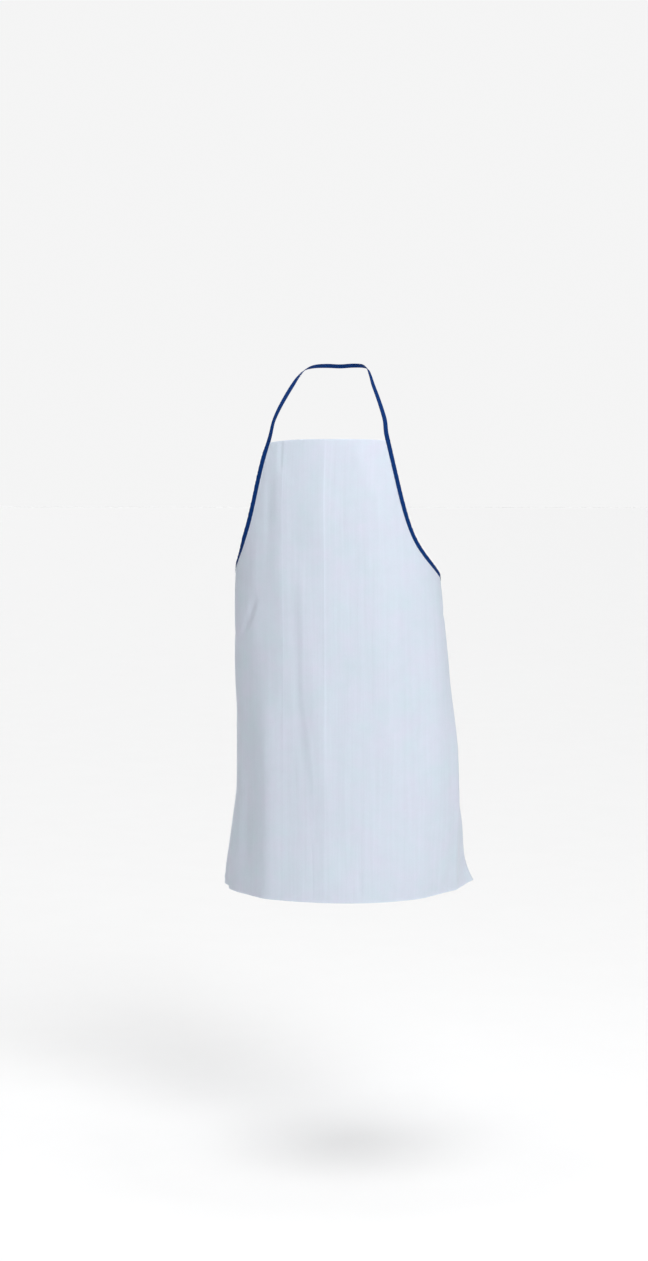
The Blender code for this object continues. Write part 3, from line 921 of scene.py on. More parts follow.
@dataclass
class MeshMaker:
    """Puts computed surfaces into mesh objects that ride on the frame's one body."""

    collection: bpy.types.Collection

    def add(
        self,
        name: str,
        points: np.ndarray,
        faces: list[list[int]],
        material: bpy.types.Material,
        uv_name: str = "",
        uv: np.ndarray | None = None,
        flat_from: int | None = None,
    ) -> bpy.types.Object:
        """Makes one smooth object.

        Args:
            name: The object's name.
            points: Its vertices, N by 3.
            faces: Vertex numbers of each face.
            material: Its finish.
            uv_name: Name of its UV map.
            uv: UV place of each vertex, N by 2.
            flat_from: The face from which on the faces are flat, such as a cut edge's.

        Returns:
            The object, at the origin.
        """
        mesh = bpy.data.meshes.new(name)
        mesh.from_pydata(points.tolist(), [], faces)
        smooth = np.ones(len(mesh.polygons), bool)
        if flat_from is not None:
            smooth[flat_from:] = False
        mesh.polygons.foreach_set("use_smooth", smooth)
        if uv is not None:
            corners = np.empty(len(mesh.loops), np.int32)
            mesh.loops.foreach_get("vertex_index", corners)
            mesh.uv_layers.new(name=uv_name).data.foreach_set("uv", uv[corners].ravel())
        mesh.materials.append(material)
        mesh.update()
        thing = bpy.data.objects.new(name, mesh)
        self.collection.objects.link(thing)
        return thing

    def sheet(
        self,
        name: str,
        middle: np.ndarray,
        wall: float,
        material: bpy.types.Material,
        uv_name: str,
        uv: np.ndarray,
    ) -> bpy.types.Object:
        """A thin closed shell round a grid of middle points.

        Both faces stand half a wall off the grid along its normal, the cross product of its two directions.
        Cut edges join them.

        Args:
            name: The object's name.
            middle: Middle points, rows by columns by 3. Rows crossed with columns point outwards.
            wall: Thickness.
            material: Its finish.
            uv_name: Name of its UV map.
            uv: UV place of each grid point, rows by columns by 2.

        Returns:
            The object.
        """
        rows, columns = middle.shape[:2]
        normal = unit(np.cross(np.gradient(middle, axis=0), np.gradient(middle, axis=1)))
        points = np.concatenate([middle + normal * wall / 2, middle - normal * wall / 2]).reshape(-1, 3)
        near = np.arange(rows * columns).reshape(rows, columns)
        far = near + rows * columns
        outer = np.stack([near[:-1, :-1], near[1:, :-1], near[1:, 1:], near[:-1, 1:]], axis=-1)
        inner = np.stack([far[:-1, :-1], far[:-1, 1:], far[1:, 1:], far[1:, :-1]], axis=-1)
        near_loop = np.concatenate([near[0, :-1], near[:-1, -1], near[-1, :0:-1], near[:0:-1, 0]])
        far_loop = near_loop + rows * columns
        rim = np.stack([near_loop, np.roll(near_loop, -1), np.roll(far_loop, -1), far_loop], axis=-1)
        faces = [part.reshape(-1, 4).tolist() for part in (outer, inner, rim)]
        places = np.concatenate([uv, uv]).reshape(-1, 2)
        flat_from = len(faces[0]) + len(faces[1])
        return self.add(name, points, faces[0] + faces[1] + faces[2], material, uv_name, places, flat_from)

    def tubes(
        self,
        name: str,
        rings: np.ndarray,
        material: bpy.types.Material,
        uv_name: str,
        uv: np.ndarray,
    ) -> bpy.types.Object:
        """Closed tubes, each with a face over both ends.

        Args:
            name: The object's name.
            rings: Points, tubes by rings by sides by 3. Along crossed with round points inwards.
            material: Its finish.
            uv_name: Name of the UV map.
            uv: UV place of each point, shaped as rings but 2 last.

        Returns:
            The object.
        """
        count, length, sides = rings.shape[:3]
        number = np.arange(count * length * sides).reshape(count, length, sides)
        ahead = np.roll(number, -1, axis=2)
        walls = np.stack([number[:, :-1], number[:, 1:], ahead[:, 1:], ahead[:, :-1]], axis=-1)
        caps = np.concatenate([number[:, 0], number[:, -1, ::-1]])
        faces = walls.reshape(-1, 4)[:, ::-1].tolist() + caps[:, ::-1].tolist()
        return self.add(name, rings.reshape(-1, 3), faces, material, uv_name, uv.reshape(-1, 2))


@dataclass
class Palette:
    """The apron's finished materials."""

    cloth: bpy.types.Material
    tape: bpy.types.Material
    thread: bpy.types.Material

    @classmethod
    def mixed(cls) -> "Palette":
        """Builds all of them from their finishes.

        Returns:
            The palette.
        """
        effects = SharedEffects()
        cloth, tape = NonwovenFinish().material(effects), TapeFinish().material(effects)
        return cls(cloth, tape, ThreadFinish().material())


def settle(piece: bpy.types.Object, slot: str, *nodes: str) -> None:
    """Lets a piece ride on the body, and stand for its CAD nodes.

    Args:
        piece: The piece.
        slot: The record's material slot. It is not used.
        nodes: The CAD nodes that it stands for.
    """
    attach(piece, BODY)
    if nodes:
        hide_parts(*nodes)


@dataclass
class BodyPanel:
    """The apron's one piece of cloth, as a thin shell on its solid's form."""

    cloth: WornCloth
    wall: float = 0.0005
    bib_step: float = 0.0036
    fine_step: float = 0.0011
    fine_reach: float = 0.005
    fine_places: tuple[float, ...] = (0.0, -0.0245, -0.045, -0.085)
    armhole_steps: int = 100
    rows: int = 158
    rim_rows: tuple[float, ...] = (0.0010, 0.0024)
    # Paleness along raised sharp creases and cut edges: partly their own whitening, partly a painted
    # highlight
    full_wear_height: float = 0.0006
    edge_paleness_reach: float = 0.0014
    edge_wear: float = 2.2
    samples: int = 4000

    def bib_columns(self) -> np.ndarray:
        """Places across the bib, close together at its sharp creases and even between them.

        Returns:
            The places, from the wearer's right to the left.
        """
        half = self.cloth.bib_width / 2
        dense = np.linspace(-half, half, self.samples)
        step = np.full(dense.shape, self.bib_step)
        for place in self.fine_places:
            step = np.where(np.abs(dense - place) < self.fine_reach, self.fine_step, step)
        count = np.concatenate([[0.0], np.cumsum(np.diff(dense) / step[1:])])
        return np.interp(np.linspace(0, count[-1], int(round(count[-1])) + 1), count, dense)

    def grid(self) -> tuple[np.ndarray, np.ndarray]:
        """Flat places of the grid: columns run down from the bib's top or an armhole, rows share each column.

        Returns:
            across and down, each rows by columns.
        """
        edge_across, edge_down = self.cloth.armhole_edge(self.armhole_steps)
        bib = self.bib_columns()
        across = np.concatenate([-edge_across[:0:-1], bib, edge_across[1:]])
        top = np.concatenate([edge_down[:0:-1], np.zeros(len(bib)), edge_down[1:]])
        share = np.linspace(0, 1, self.rows + 1)
        rim = np.array(self.rim_rows) / self.cloth.length
        share = np.concatenate([[0.0], rim, share[1:-1], 1 - rim[::-1], [1.0]])
        down = top + (self.cloth.length - top) * share[:, None]
        return np.broadcast_to(across, down.shape).copy(), down

    def whitening_and_highlight(self, across: np.ndarray, down: np.ndarray) -> np.ndarray:
        """Paleness of each place: along raised sharp creases by their height, and at the hem and the bib's
        top. It is partly the film's own whitening and fuzz there and partly a painted highlight on the crests
        and edges.

        Args:
            across: Flat places across.
            down: Flat places down.

        Returns:
            The paleness, 1 along the highest crease.
        """
        worn = np.zeros(across.shape)
        for crease in FRONT_CREASES + SIDE_CREASES:
            if crease.shape is FoldShape.SHARP and crease.height > 0:
                share = self.cloth.crease_share(crease, across, down)
                worn = np.maximum(worn, share * crease.height / self.full_wear_height)
        edge = np.exp(-np.minimum(down, self.cloth.length - down) / self.edge_paleness_reach)
        return np.maximum(worn, self.edge_wear * edge)

    def build(self, maker: MeshMaker, palette: Palette) -> bpy.types.Object:
        """Makes the shell and logs the area of its cut.

        Args:
            maker: Makes the mesh.
            palette: The materials.

        Returns:
            The panel.
        """
        across, down = self.grid()
        middle = self.cloth.points(across, down)
        uv = np.stack([across, -down], axis=-1)
        piece = maker.sheet("panel_cloth", middle, self.wall, palette.cloth, "flat", uv)
        # Paleness along raised sharp creases and cut edges for the material: partly real whitening, partly a
        # painted highlight
        whitening_and_highlight = piece.data.attributes.new("whitening_and_highlight", "FLOAT", "POINT")
        whitening_and_highlight.data.foreach_set("value", np.tile(self.whitening_and_highlight(across, down).ravel(), 2))
        settle(piece, "apron_cloth", "body_panel")
        flat, area = (self.cloth.width, self.cloth.length), self.cloth.cut_area()
        LOG.info("%s: %d faces, cut %.3f m2", piece.name, len(piece.data.polygons), area)
        return piece


@dataclass(frozen=True)
class TapeCut:
    """The navy tape: cut width, folded width, and how its folded section lies."""

    cut: float = 0.020
    folded: float = 0.009
    wall: float = 0.00036
    spine_out: float = 0.0009
    stitch_inset: float = 0.0072
    leaf_steps: int = 7
    fold_steps: int = 8

    def section(self, leaf: float, spine: float) -> tuple[np.ndarray, np.ndarray, np.ndarray]:
        """The folded section from the inner leaf's open edge round the fold to the outer leaf's.

        Leaves are straight and the fold is half an ellipse.

        Args:
            leaf: How far each leaf's middle stands off the tape's middle.
            spine: How far the fold reaches past the leaves' start.

        Returns:
            Inset from the fold's outer side, height off the middle, and unfolded distance across the tape.
        """
        flat = np.linspace(self.folded, spine, self.leaf_steps)
        turn = np.linspace(-math.pi / 2, math.pi / 2, self.fold_steps + 1)[1:-1]
        inset = np.concatenate([flat, spine * (1 - np.cos(turn)), flat[::-1]])
        height = np.concatenate([np.full(len(flat), -leaf), leaf * np.sin(turn), np.full(len(flat), leaf)])
        return inset, height, run_length(np.stack([inset, height], axis=1))


@dataclass(frozen=True)
class StitchRow:
    """A row of running stitches on one face of a tape."""

    pitch: float = 0.0036
    length: float = 0.0025
    radius: float = 0.00019
    rings: int = 6
    sides: int = 6
    dive: float = 1.1  # how deep the ends go into the tape, in radii
    least: float = 0.04  # square of an end's radius, as a share of the middle's

    def build(
        self, name: str, line: np.ndarray, outward: np.ndarray, maker: MeshMaker, palette: Palette
    ) -> bpy.types.Object:
        """Makes the stitches as closed tubes.

        Each is a round tube along the line. Its radius is the root of one less the fourth power of the place,
        from -1 to 1 along it, and its middle sinks by the same power.

        Args:
            name: The object's name.
            line: Points on the tape's face that the row follows.
            outward: The face's outward direction at each.
            maker: Makes the mesh.
            palette: The materials.

        Returns:
            The object.
        """
        total = run_length(line)
        count = int(total[-1] / self.pitch)
        starts = (total[-1] - count * self.pitch) / 2 + (np.arange(count) + 0.5) * self.pitch
        place = np.linspace(-1, 1, self.rings)
        at = starts[:, None] + place * self.length / 2
        middle = np.stack([np.interp(at, total, line[:, k]) for k in range(3)], axis=-1)
        look = unit(np.stack([np.interp(at, total, outward[:, k]) for k in range(3)], axis=-1))
        along = unit(np.gradient(middle, axis=1))
        sideways = np.cross(look, along)
        drop = place**4
        radius = self.radius * np.sqrt(np.maximum(1 - drop, self.least))
        middle = middle - look * (self.radius * self.dive * drop)[:, None]
        turn = np.arange(self.sides) / self.sides * WHOLE_TURN
        out = np.cos(turn)[:, None] * look[..., None, :] + np.sin(turn)[:, None] * sideways[..., None, :]
        rings = middle[..., None, :] + out * radius[:, None, None]
        round_place = np.broadcast_to(turn * self.radius, at.shape + (self.sides,))
        uv = np.stack([round_place, np.broadcast_to(at[..., None], round_place.shape)], axis=-1)
        piece = maker.tubes(name, rings, palette.thread, "tape", uv)
        settle(piece, "binding_tape")
        LOG.info("%s: %d stitches", name, count)
        return piece


@dataclass
class ArmholeBinding:
    """Tape over one armhole's raw edge: inner leaf, fold and outer leaf, made from the cloth's points."""

    cloth: WornCloth
    side: Side
    tape: TapeCut = TapeCut()
    stitches: StitchRow = StitchRow()
    steps: int = 230
    past: float = 0.0031  # how far it runs on past the panel's corners
    leaf: float = 0.00058

    def path(self) -> tuple[np.ndarray, np.ndarray, np.ndarray]:
        """The bound edge in the flat, run on past the corners.

        Returns:
            Its places, its directions and the way in to the cloth at each.
        """
        edge = np.stack(self.cloth.armhole_edge(self.steps), axis=1)
        along = unit(np.gradient(edge, axis=0))
        places = np.concatenate([edge[:1] - along[:1] * self.past, edge, edge[-1:] + along[-1:] * self.past])
        along = np.concatenate([along[:1], along, along[-1:]])
        return places, along, np.stack([-along[:, 1], along[:, 0]], axis=1)

    def on_cloth(self, inset: np.ndarray, off: np.ndarray) -> np.ndarray:
        """World points beside the raw edge, in rows along it.

        Args:
            inset: Distances in from the edge.
            off: How far each is moved out from the cloth.

        Returns:
            Points, places along the edge by insets by 3.
        """
        edge, _, inward = self.path()
        places = edge[:, None, :] + inward[:, None, :] * inset[None, :, None]
        return self.cloth.points(self.side.value * places[..., 0], places[..., 1], off[None, :])

    def flat_length(self) -> float:
        """Length of the bound edge with what runs past it."""
        return float(run_length(self.path()[0])[-1])

    def build(self, maker: MeshMaker, palette: Palette) -> bpy.types.Object:
        """Makes the tape and a row of stitches on both of its faces.

        Args:
            maker: Makes the meshes.
            palette: The materials.

        Returns:
            The tape.
        """
        inset, off, across = self.tape.section(self.leaf, self.tape.spine_out)
        order = slice(None) if self.side is Side.RIGHT else slice(None, None, -1)
        middle = self.on_cloth(inset[order] - self.tape.spine_out, off[order])
        along = run_length(self.path()[0])
        uv = np.stack(np.broadcast_arrays(across[order][None, :], along[:, None]), axis=-1)
        name = f"armhole_tape_{self.side.word}"
        piece = maker.sheet(name, middle, self.tape.wall, palette.tape, "tape", uv)
        settle(piece, "binding_tape", f"armhole_binding_{self.side.word}")
        self.flat_length()
        seam = np.array([self.tape.stitch_inset - self.tape.spine_out])
        surface = self.leaf + self.tape.wall / 2
        for face, sign in (("outer", 1), ("inner", -1)):
            line = self.on_cloth(seam, np.array([sign * surface]))[:, 0]
            raised = self.on_cloth(seam, np.array([sign * (surface + PROBE)]))[:, 0]
            stitch_name = f"armhole_stitches_{face}_{self.side.word}"
            self.stitches.build(stitch_name, line, unit(raised - line), maker, palette)
        LOG.info("%s: %.3f m of tape", name, self.flat_length())
        return piece

    def run_on(self, end: int, start: float, lead: float) -> tuple[np.ndarray, np.ndarray, np.ndarray]:
        """Where the shut tape runs on past the binding's end.

        Args:
            end: 0 at the bib, -1 at the side.
            start: The gap to the binding's end.
            lead: How far the tape runs on straight.

        Returns:
            Two places of its middle line, the outward direction at each, and the step from its fold to its
            open edge, parallel to the binding's end.
        """
        edge, along, inward = self.path()
        away = along[end] if end else -along[end]
        rim = edge[end] - inward[end] * self.tape.spine_out
        flat = np.stack([rim + away * past + inward[end] * self.tape.folded / 2 for past in (start, lead)])
        across = self.side.value * flat[:, 0]
        middle = self.cloth.points(across, flat[:, 1])
        outer = self.cloth.points(across, flat[:, 1], PROBE)
        sides = np.stack([rim, rim + inward[end] * self.tape.folded]) + away * start
        fold, opened = self.cloth.points(self.side.value * sides[:, 0], sides[:, 1])
        return middle, unit(outer - middle), opened - fold


@dataclass
class ShutTape:
    """Tape folded shut: two leaves on each other, with a fold on one side and stitches by the other."""

    name: str
    node: str
    held: str
    rests_on: tuple[str, ...]
    route: np.ndarray
    looks: np.ndarray  # its outward direction at each place of the route
    open_side: int  # 1 or -1: which side of the route the open edge is on
    first_width: np.ndarray | None = None
    last_width: np.ndarray | None = None
    tape: TapeCut = TapeCut()
    stitches: StitchRow = StitchRow()
    leaf: float = 0.00024
    step: float = 0.0020
    sway: float = 2.2  # degrees that the tape rocks about its own line
    sway_length: float = 0.073
    end_reach: float = 0.010

    def lines(self) -> tuple[np.ndarray, np.ndarray, np.ndarray, np.ndarray]:
        """The tape's middle line, its outward direction, the step from fold to open edge, and the run.

        The line is a smooth curve through the route, and the width is square to it and to the outward
        direction, except near an end whose own width is given.

        Returns:
            Middle points, outward directions, widths and lengths along.
        """
        rough = run_length(self.route)
        even = np.linspace(0, rough[-1], int(rough[-1] / self.step) + 1)
        middle = np.stack([through_rows(rough, self.route[:, k], even) for k in range(3)], axis=1)
        look = np.stack([np.interp(even, rough, self.looks[:, k]) for k in range(3)], axis=1)
        along = unit(np.gradient(middle, axis=0))
        look = unit(look - along * np.sum(look * along, axis=1, keepdims=True))
        rock = math.radians(self.sway) * np.sin(WHOLE_TURN * even / self.sway_length)
        rock = (rock * np.sin(math.pi * even / even[-1]))[:, None]
        aside = np.cross(look, along)
        look, aside = look * np.cos(rock) + aside * np.sin(rock), aside * np.cos(rock) - look * np.sin(rock)
        width = aside * self.open_side * self.tape.folded
        for given, near in ((self.first_width, even), (self.last_width, even[-1] - even)):
            if given is not None:
                share = (1 - smooth_step(near / self.end_reach))[:, None]
                width = width * (1 - share) + given * share
        return middle, unit(np.cross(along, width)) * self.open_side, width, even

    def build(self, maker: MeshMaker, palette: Palette) -> bpy.types.Object:
        """Makes the tape and its stitches on both faces.

        Args:
            maker: Makes the meshes.
            palette: The materials.

        Returns:
            The tape.
        """
        middle, look, width, even = self.lines()
        inset, height, across = self.tape.section(self.leaf, self.leaf)
        share = (inset / self.tape.folded - 0.5)[None, :, None]
        grid = middle[:, None, :] + width[:, None, :] * share + look[:, None, :] * height[None, :, None]
        order = slice(None) if self.open_side < 0 else slice(None, None, -1)
        uv = np.stack(np.broadcast_arrays(across[None, order], even[:, None]), axis=-1)
        piece = maker.sheet(self.name, grid[:, order], self.tape.wall, palette.tape, "tape", uv)
        settle(piece, "binding_tape", self.node)
        seam = middle + width * (self.tape.stitch_inset / self.tape.folded - 0.5)
        surface = self.leaf + self.tape.wall / 2
        for face, sign in (("outer", 1), ("inner", -1)):
            stitch_name = f"{self.name}_stitches_{face}"
            self.stitches.build(stitch_name, seam + look * sign * surface, look * sign, maker, palette)
        LOG.info("%s: %.3f m of tape", self.name, even[-1])
        return piece


class NeckPoint(NamedTuple):
    """A place on the neck loop's inner face, and where its outer face looks, from the nape to the bib."""

    x_right: float  # distance out to -X
    x_left: float  # distance out to +X
    y: float
    z: float
    facing_right: float  # degrees round from the front, at -X, where the tape shows more of its face
    rise_right: float  # degrees up
    facing_left: float  # the same at +X
    rise_left: float


NECK_ROUTE = (
    NeckPoint(0.000, 0.000, 0.000, 0.000, 180, 32, 180, 32),
    NeckPoint(0.026, 0.026, -0.004, 0.001, 152, 34, 160, 34),
    NeckPoint(0.048, 0.048, -0.018, -0.001, 108, 38, 135, 40),
    NeckPoint(0.062, 0.061, -0.040, -0.008, 62, 40, 106, 45),
    NeckPoint(0.0715, 0.070, -0.062, -0.022, 34, 32, 76, 44),
    NeckPoint(0.0810, 0.079, -0.082, -0.042, 20, 26, 54, 40),
    NeckPoint(0.0915, 0.090, -0.099, -0.065, 18, 22, 44, 34),
    NeckPoint(0.1010, 0.100, -0.114, -0.088, 24, 22, 38, 28),
    NeckPoint(0.1090, 0.109, -0.128, -0.113, 36, 22, 36, 22),
)


class BackPoint(NamedTuple):
    """A place on a tie's inner face: out from the knot's middle, then Y, Z and where its outer face looks."""

    out: float
    y: float
    z: float
    facing: float  # degrees round from the front


class TailPoint(NamedTuple):
    """A place on a free end of a tie, from the knot's middle: out, back and down."""

    out: float
    back: float
    down: float
    facing: float  # degrees round from the front


class KnotPoint(NamedTuple):
    """A place of a tape in the knot, in shares of the knot's half sizes, and where its outer face looks."""

    out: float
    back: float
    up: float
    facing: float  # degrees round from the front
    rise: float  # degrees up


@dataclass
class TapeWork:
    """All tape folded shut: the neck loop, the waist ties and the free ends, and where the knot is."""

    bindings: dict[Side, ArmholeBinding]
    seam_gap: float = 0.0001
    lead: float = 0.012
    half_solid: float = 0.0009  # half of the solid tape's wall, from its inner face to its middle
    tail_sway: float = 5.0  # degrees that a free end rocks
    knot_size: tuple[float, float, float] = (0.026, 0.013, 0.019)
    knot_centre: tuple[float, float, float] = (0.006, 0.0620, -0.468)

    def tie_route(self) -> tuple[BackPoint, ...]:
        """The waist ties' places on the figure's back.

        Returns:
            The places, from the side to the knot.
        """
        return (
            BackPoint(0.100, 0.0470, -0.4560, 156),
            BackPoint(0.060, 0.0560, -0.4620, 168),
            BackPoint(self.knot_size[0] / 2, 0.0600, -0.4675, 178),
        )

    @staticmethod
    def tail_route(side: Side) -> tuple[TailPoint, ...]:
        """The free end's places on one side, the wearer's left one longer.

        Args:
            side: The side.

        Returns:
            The places, from the knot down.
        """
        if side is Side.LEFT:
            return (
                TailPoint(0.0053, 0.0020, 0.0086, 180),
                TailPoint(0.0110, 0.0040, 0.0400, 176),
                TailPoint(0.0165, 0.0075, 0.0950, 166),
                TailPoint(0.0210, 0.0090, 0.1550, 152),
                TailPoint(0.0260, 0.0085, 0.2300, 138),
            )
        return (
            TailPoint(0.0053, 0.0020, 0.0086, 180),
            TailPoint(0.0100, 0.0035, 0.0350, 177),
            TailPoint(0.0150, 0.0065, 0.0850, 166),
            TailPoint(0.0205, 0.0085, 0.1400, 156),
            TailPoint(0.0235, 0.0100, 0.1950, 148),
        )

    def neck_loop(self) -> ShutTape:
        """The loop from the bib's corner at -X round the nape to the corner at +X.

        Returns:
            The loop's tape.
        """
        right, right_looks, right_width = self.bindings[Side.RIGHT].run_on(0, self.seam_gap, self.lead)
        left, left_looks, left_width = self.bindings[Side.LEFT].run_on(0, self.seam_gap, self.lead)
        rows = [(-row.x_right, row.y, row.z) for row in NECK_ROUTE[:0:-1]]
        rows += [(row.x_left, row.y, row.z) for row in NECK_ROUTE]
        looks = [facing_vector(-row.facing_right, row.rise_right) for row in NECK_ROUTE[:0:-1]]
        looks += [facing_vector(row.facing_left, row.rise_left) for row in NECK_ROUTE]
        looks = np.array(looks)
        inner = np.array(rows) + looks * self.half_solid
        route = np.concatenate([right, inner, left[::-1]])
        looks = np.concatenate([right_looks, looks, left_looks[::-1]])
        rests_on = ("armhole_tape_left", "armhole_tape_right")
        return ShutTape(
            "neck_loop_tape", "neck_loop", "hung", rests_on, route, looks, -1, right_width, left_width
        )

    def waist_tie(self, side: Side) -> ShutTape:
        """The tie from the end of one armhole's binding to the knot.

        Args:
            side: The side.

        Returns:
            The tie's tape.
        """
        lead, looks, width = self.bindings[side].run_on(-1, self.seam_gap, self.lead)
        rows = [(self.knot_centre[0] + side.value * row.out, row.y, row.z) for row in self.tie_route()]
        back_looks = np.array([facing_vector(side.value * row.facing) for row in self.tie_route()])
        route = np.concatenate([lead, np.array(rows) + back_looks * self.half_solid])
        name, node = f"waist_tie_tape_{side.word}", f"waist_tie_{side.word}"
        rests_on = (f"armhole_tape_{side.word}",)
        looks = np.concatenate([looks, back_looks])
        return ShutTape(name, node, "stretched", rests_on, route, looks, -side.value, width)

    def tail(self, side: Side) -> ShutTape:
        """The free end of one tie, which hangs from the knot.

        Args:
            side: The side.

        Returns:
            The end's tape.
        """
        x, y, z = self.knot_centre
        rows = self.tail_route(side)
        looks = np.array([facing_vector(side.value * row.facing) for row in rows])
        route = np.array([(x + side.value * row.out, y + row.back, z - row.down) for row in rows])
        route = route + looks * self.half_solid
        name, node = f"tie_end_tape_{side.word}", f"tie_end_{side.word}"
        rests_on = ("waist_knot_tape_left",)
        return ShutTape(name, node, "hung", rests_on, route, looks, side.value, sway=self.tail_sway)

    def build(self, maker: MeshMaker, palette: Palette) -> None:
        """Makes every shut tape.

        Args:
            maker: Makes the meshes.
            palette: The materials.
        """
        self.neck_loop().build(maker, palette)
        for side in Side:
            self.waist_tie(side).build(maker, palette)
            self.tail(side).build(maker, palette)


@dataclass
class WaistKnot:
    """The two ties crossed once: each tape goes over or under the other and comes out below."""

    work: TapeWork
    tape: TapeCut = TapeCut()
    sides: int = 20
    rings: int = 72
    squareness: float = 0.45
    pinch: float = 0.24  # share of the tape's width that the knot takes away at its middle
    swell: float = 1.8  # half of the strand's thickness there, in walls of the tape
    end_swell: float = 1.15  # and at its ends
    core_share: tuple[float, float, float] = (0.60, 0.55, 0.56)  # the hidden turns' extents, of the knot's
    core_back: float = 0.08
    core_rings: int = 16
    core_end: float = 0.985  # share of its half-length at which each end closes
    rows_over: tuple[KnotPoint, ...] = (
        KnotPoint(1.000, -0.170, 0.050, 178, 0),
        KnotPoint(0.860, -0.150, 0.034, 178, 0),
        KnotPoint(0.560, 0.380, 0.160, 182, 8),
        KnotPoint(0.120, 0.800, 0.260, 184, 14),
        KnotPoint(-0.360, 0.700, 0.120, 205, 10),
        KnotPoint(-0.600, 0.100, -0.140, 262, 0),
        KnotPoint(-0.360, -0.420, -0.300, 330, -20),
        KnotPoint(0.060, -0.300, -0.400, 300, -20),
        KnotPoint(0.330, 0.220, -0.560, 200, -8),
        KnotPoint(0.387, 0.410, -0.740, 180, 0),
        KnotPoint(0.408, 0.450, -0.905, 180, 0),
    )
    rows_under: tuple[KnotPoint, ...] = (
        KnotPoint(1.000, -0.170, 0.050, 178, 0),
        KnotPoint(0.860, -0.190, 0.034, 178, 0),
        KnotPoint(0.500, -0.450, 0.120, 176, 6),
        KnotPoint(0.000, -0.600, 0.360, 176, 20),
        KnotPoint(-0.400, -0.200, 0.540, 180, 60),
        KnotPoint(-0.440, 0.450, 0.280, 178, 30),
        KnotPoint(-0.220, 0.860, -0.060, 178, 0),
        KnotPoint(0.080, 0.820, -0.340, 178, -8),
        KnotPoint(0.320, 0.560, -0.560, 179, -4),
        KnotPoint(0.387, 0.460, -0.740, 180, 0),
        KnotPoint(0.408, 0.450, -0.905, 180, 0),
    )

    def strand(
        self, side: Side, rows: tuple[KnotPoint, ...], maker: MeshMaker, palette: Palette
    ) -> bpy.types.Object:
        """One tape through the knot, as a soft flattened tube.

        Its section is a squared ellipse that is pinched and swollen by half a sine wave along the strand.

        Args:
            side: The side its tie comes from.
            rows: The route, given for the wearer's left.
            maker: Makes the mesh.
            palette: The materials.

        Returns:
            The object.
        """
        half = np.array(self.work.knot_size) / 2
        sign = np.array([side.value, 1, 1])
        route = np.array([(row.out, row.back, row.up) for row in rows]) * half * sign + self.work.knot_centre
        looks = np.array([facing_vector(side.value * row.facing, row.rise) for row in rows])
        rough = run_length(route)
        even = np.linspace(0, rough[-1], self.rings)
        middle = np.stack([through_rows(rough, route[:, k], even) for k in range(3)], axis=1)
        look = np.stack([np.interp(even, rough, looks[:, k]) for k in range(3)], axis=1)
        along = unit(np.gradient(middle, axis=0))
        look = unit(look - along * np.sum(look * along, axis=1, keepdims=True))
        aside = np.cross(look, along)
        bulge = np.sin(math.pi * even / even[-1])
        half_width = self.tape.folded / 2 * (1 - self.pinch * bulge)
        half_wall = self.tape.wall * (self.end_swell + (self.swell - self.end_swell) * bulge)
        turn = np.arange(self.sides) / self.sides * WHOLE_TURN
        wide = np.sign(np.cos(turn)) * np.abs(np.cos(turn)) ** self.squareness
        thick = np.sign(np.sin(turn)) * np.abs(np.sin(turn)) ** self.squareness
        rings = middle[:, None] + aside[:, None] * (half_width[:, None] * wide)[..., None]
        rings = rings + look[:, None] * (half_wall[:, None] * thick)[..., None]
        across = np.broadcast_to(turn / WHOLE_TURN * self.tape.cut, (self.rings, self.sides))
        uv = np.stack([across, np.broadcast_to(even[:, None], across.shape)], axis=-1)
        piece = maker.tubes(f"waist_knot_tape_{side.word}", rings[None], palette.tape, "tape", uv[None])
        settle(piece, "binding_tape")
        return piece

    def core(self, maker: MeshMaker, palette: Palette) -> None:
        """The tape pressed together inside the turns.

        It is an ellipsoid, as circles across the knot whose radius is the root of 1 less the place squared.

        Args:
            maker: Makes the mesh.
            palette: The materials.
        """
        half = np.array(self.work.knot_size) / 2 * self.core_share
        place = np.linspace(-self.core_end, self.core_end, self.core_rings)[:, None]
        radius = np.sqrt(1 - place**2)
        turn = (np.arange(self.sides) / self.sides * WHOLE_TURN)[None, :]
        across = np.broadcast_to(place, (self.core_rings, self.sides))
        rings = np.stack([across, radius * np.cos(turn), radius * np.sin(turn)], axis=-1) * half
        rings = rings + self.work.knot_centre + np.array([0, self.core_back * self.work.knot_size[1] / 2, 0])
        round_place = np.broadcast_to(turn / WHOLE_TURN * self.tape.cut, across.shape)
        uv = np.stack([round_place, across * half[0]], axis=-1)
        settle(maker.tubes("waist_knot_core", rings[None], palette.tape, "tape", uv[None]), "binding_tape")

    def build(self, maker: MeshMaker, palette: Palette) -> None:
        """Makes both strands of the knot, and the tape inside it.

        Args:
            maker: Makes the meshes.
            palette: The materials.
        """
        left = self.strand(Side.LEFT, self.rows_over, maker, palette)
        self.strand(Side.RIGHT, self.rows_under, maker, palette)
        self.core(maker, palette)
        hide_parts("waist_knot")
        LOG.info("waist knot: two strands and a core")


class SoftLight(NamedTuple):
    """A far light of even strength, in degrees: where it comes from and how much of the sky it spans."""

    name: str
    facing: float  # round from the front towards +X
    rise: float  # above level
    softness: float
    strength: float


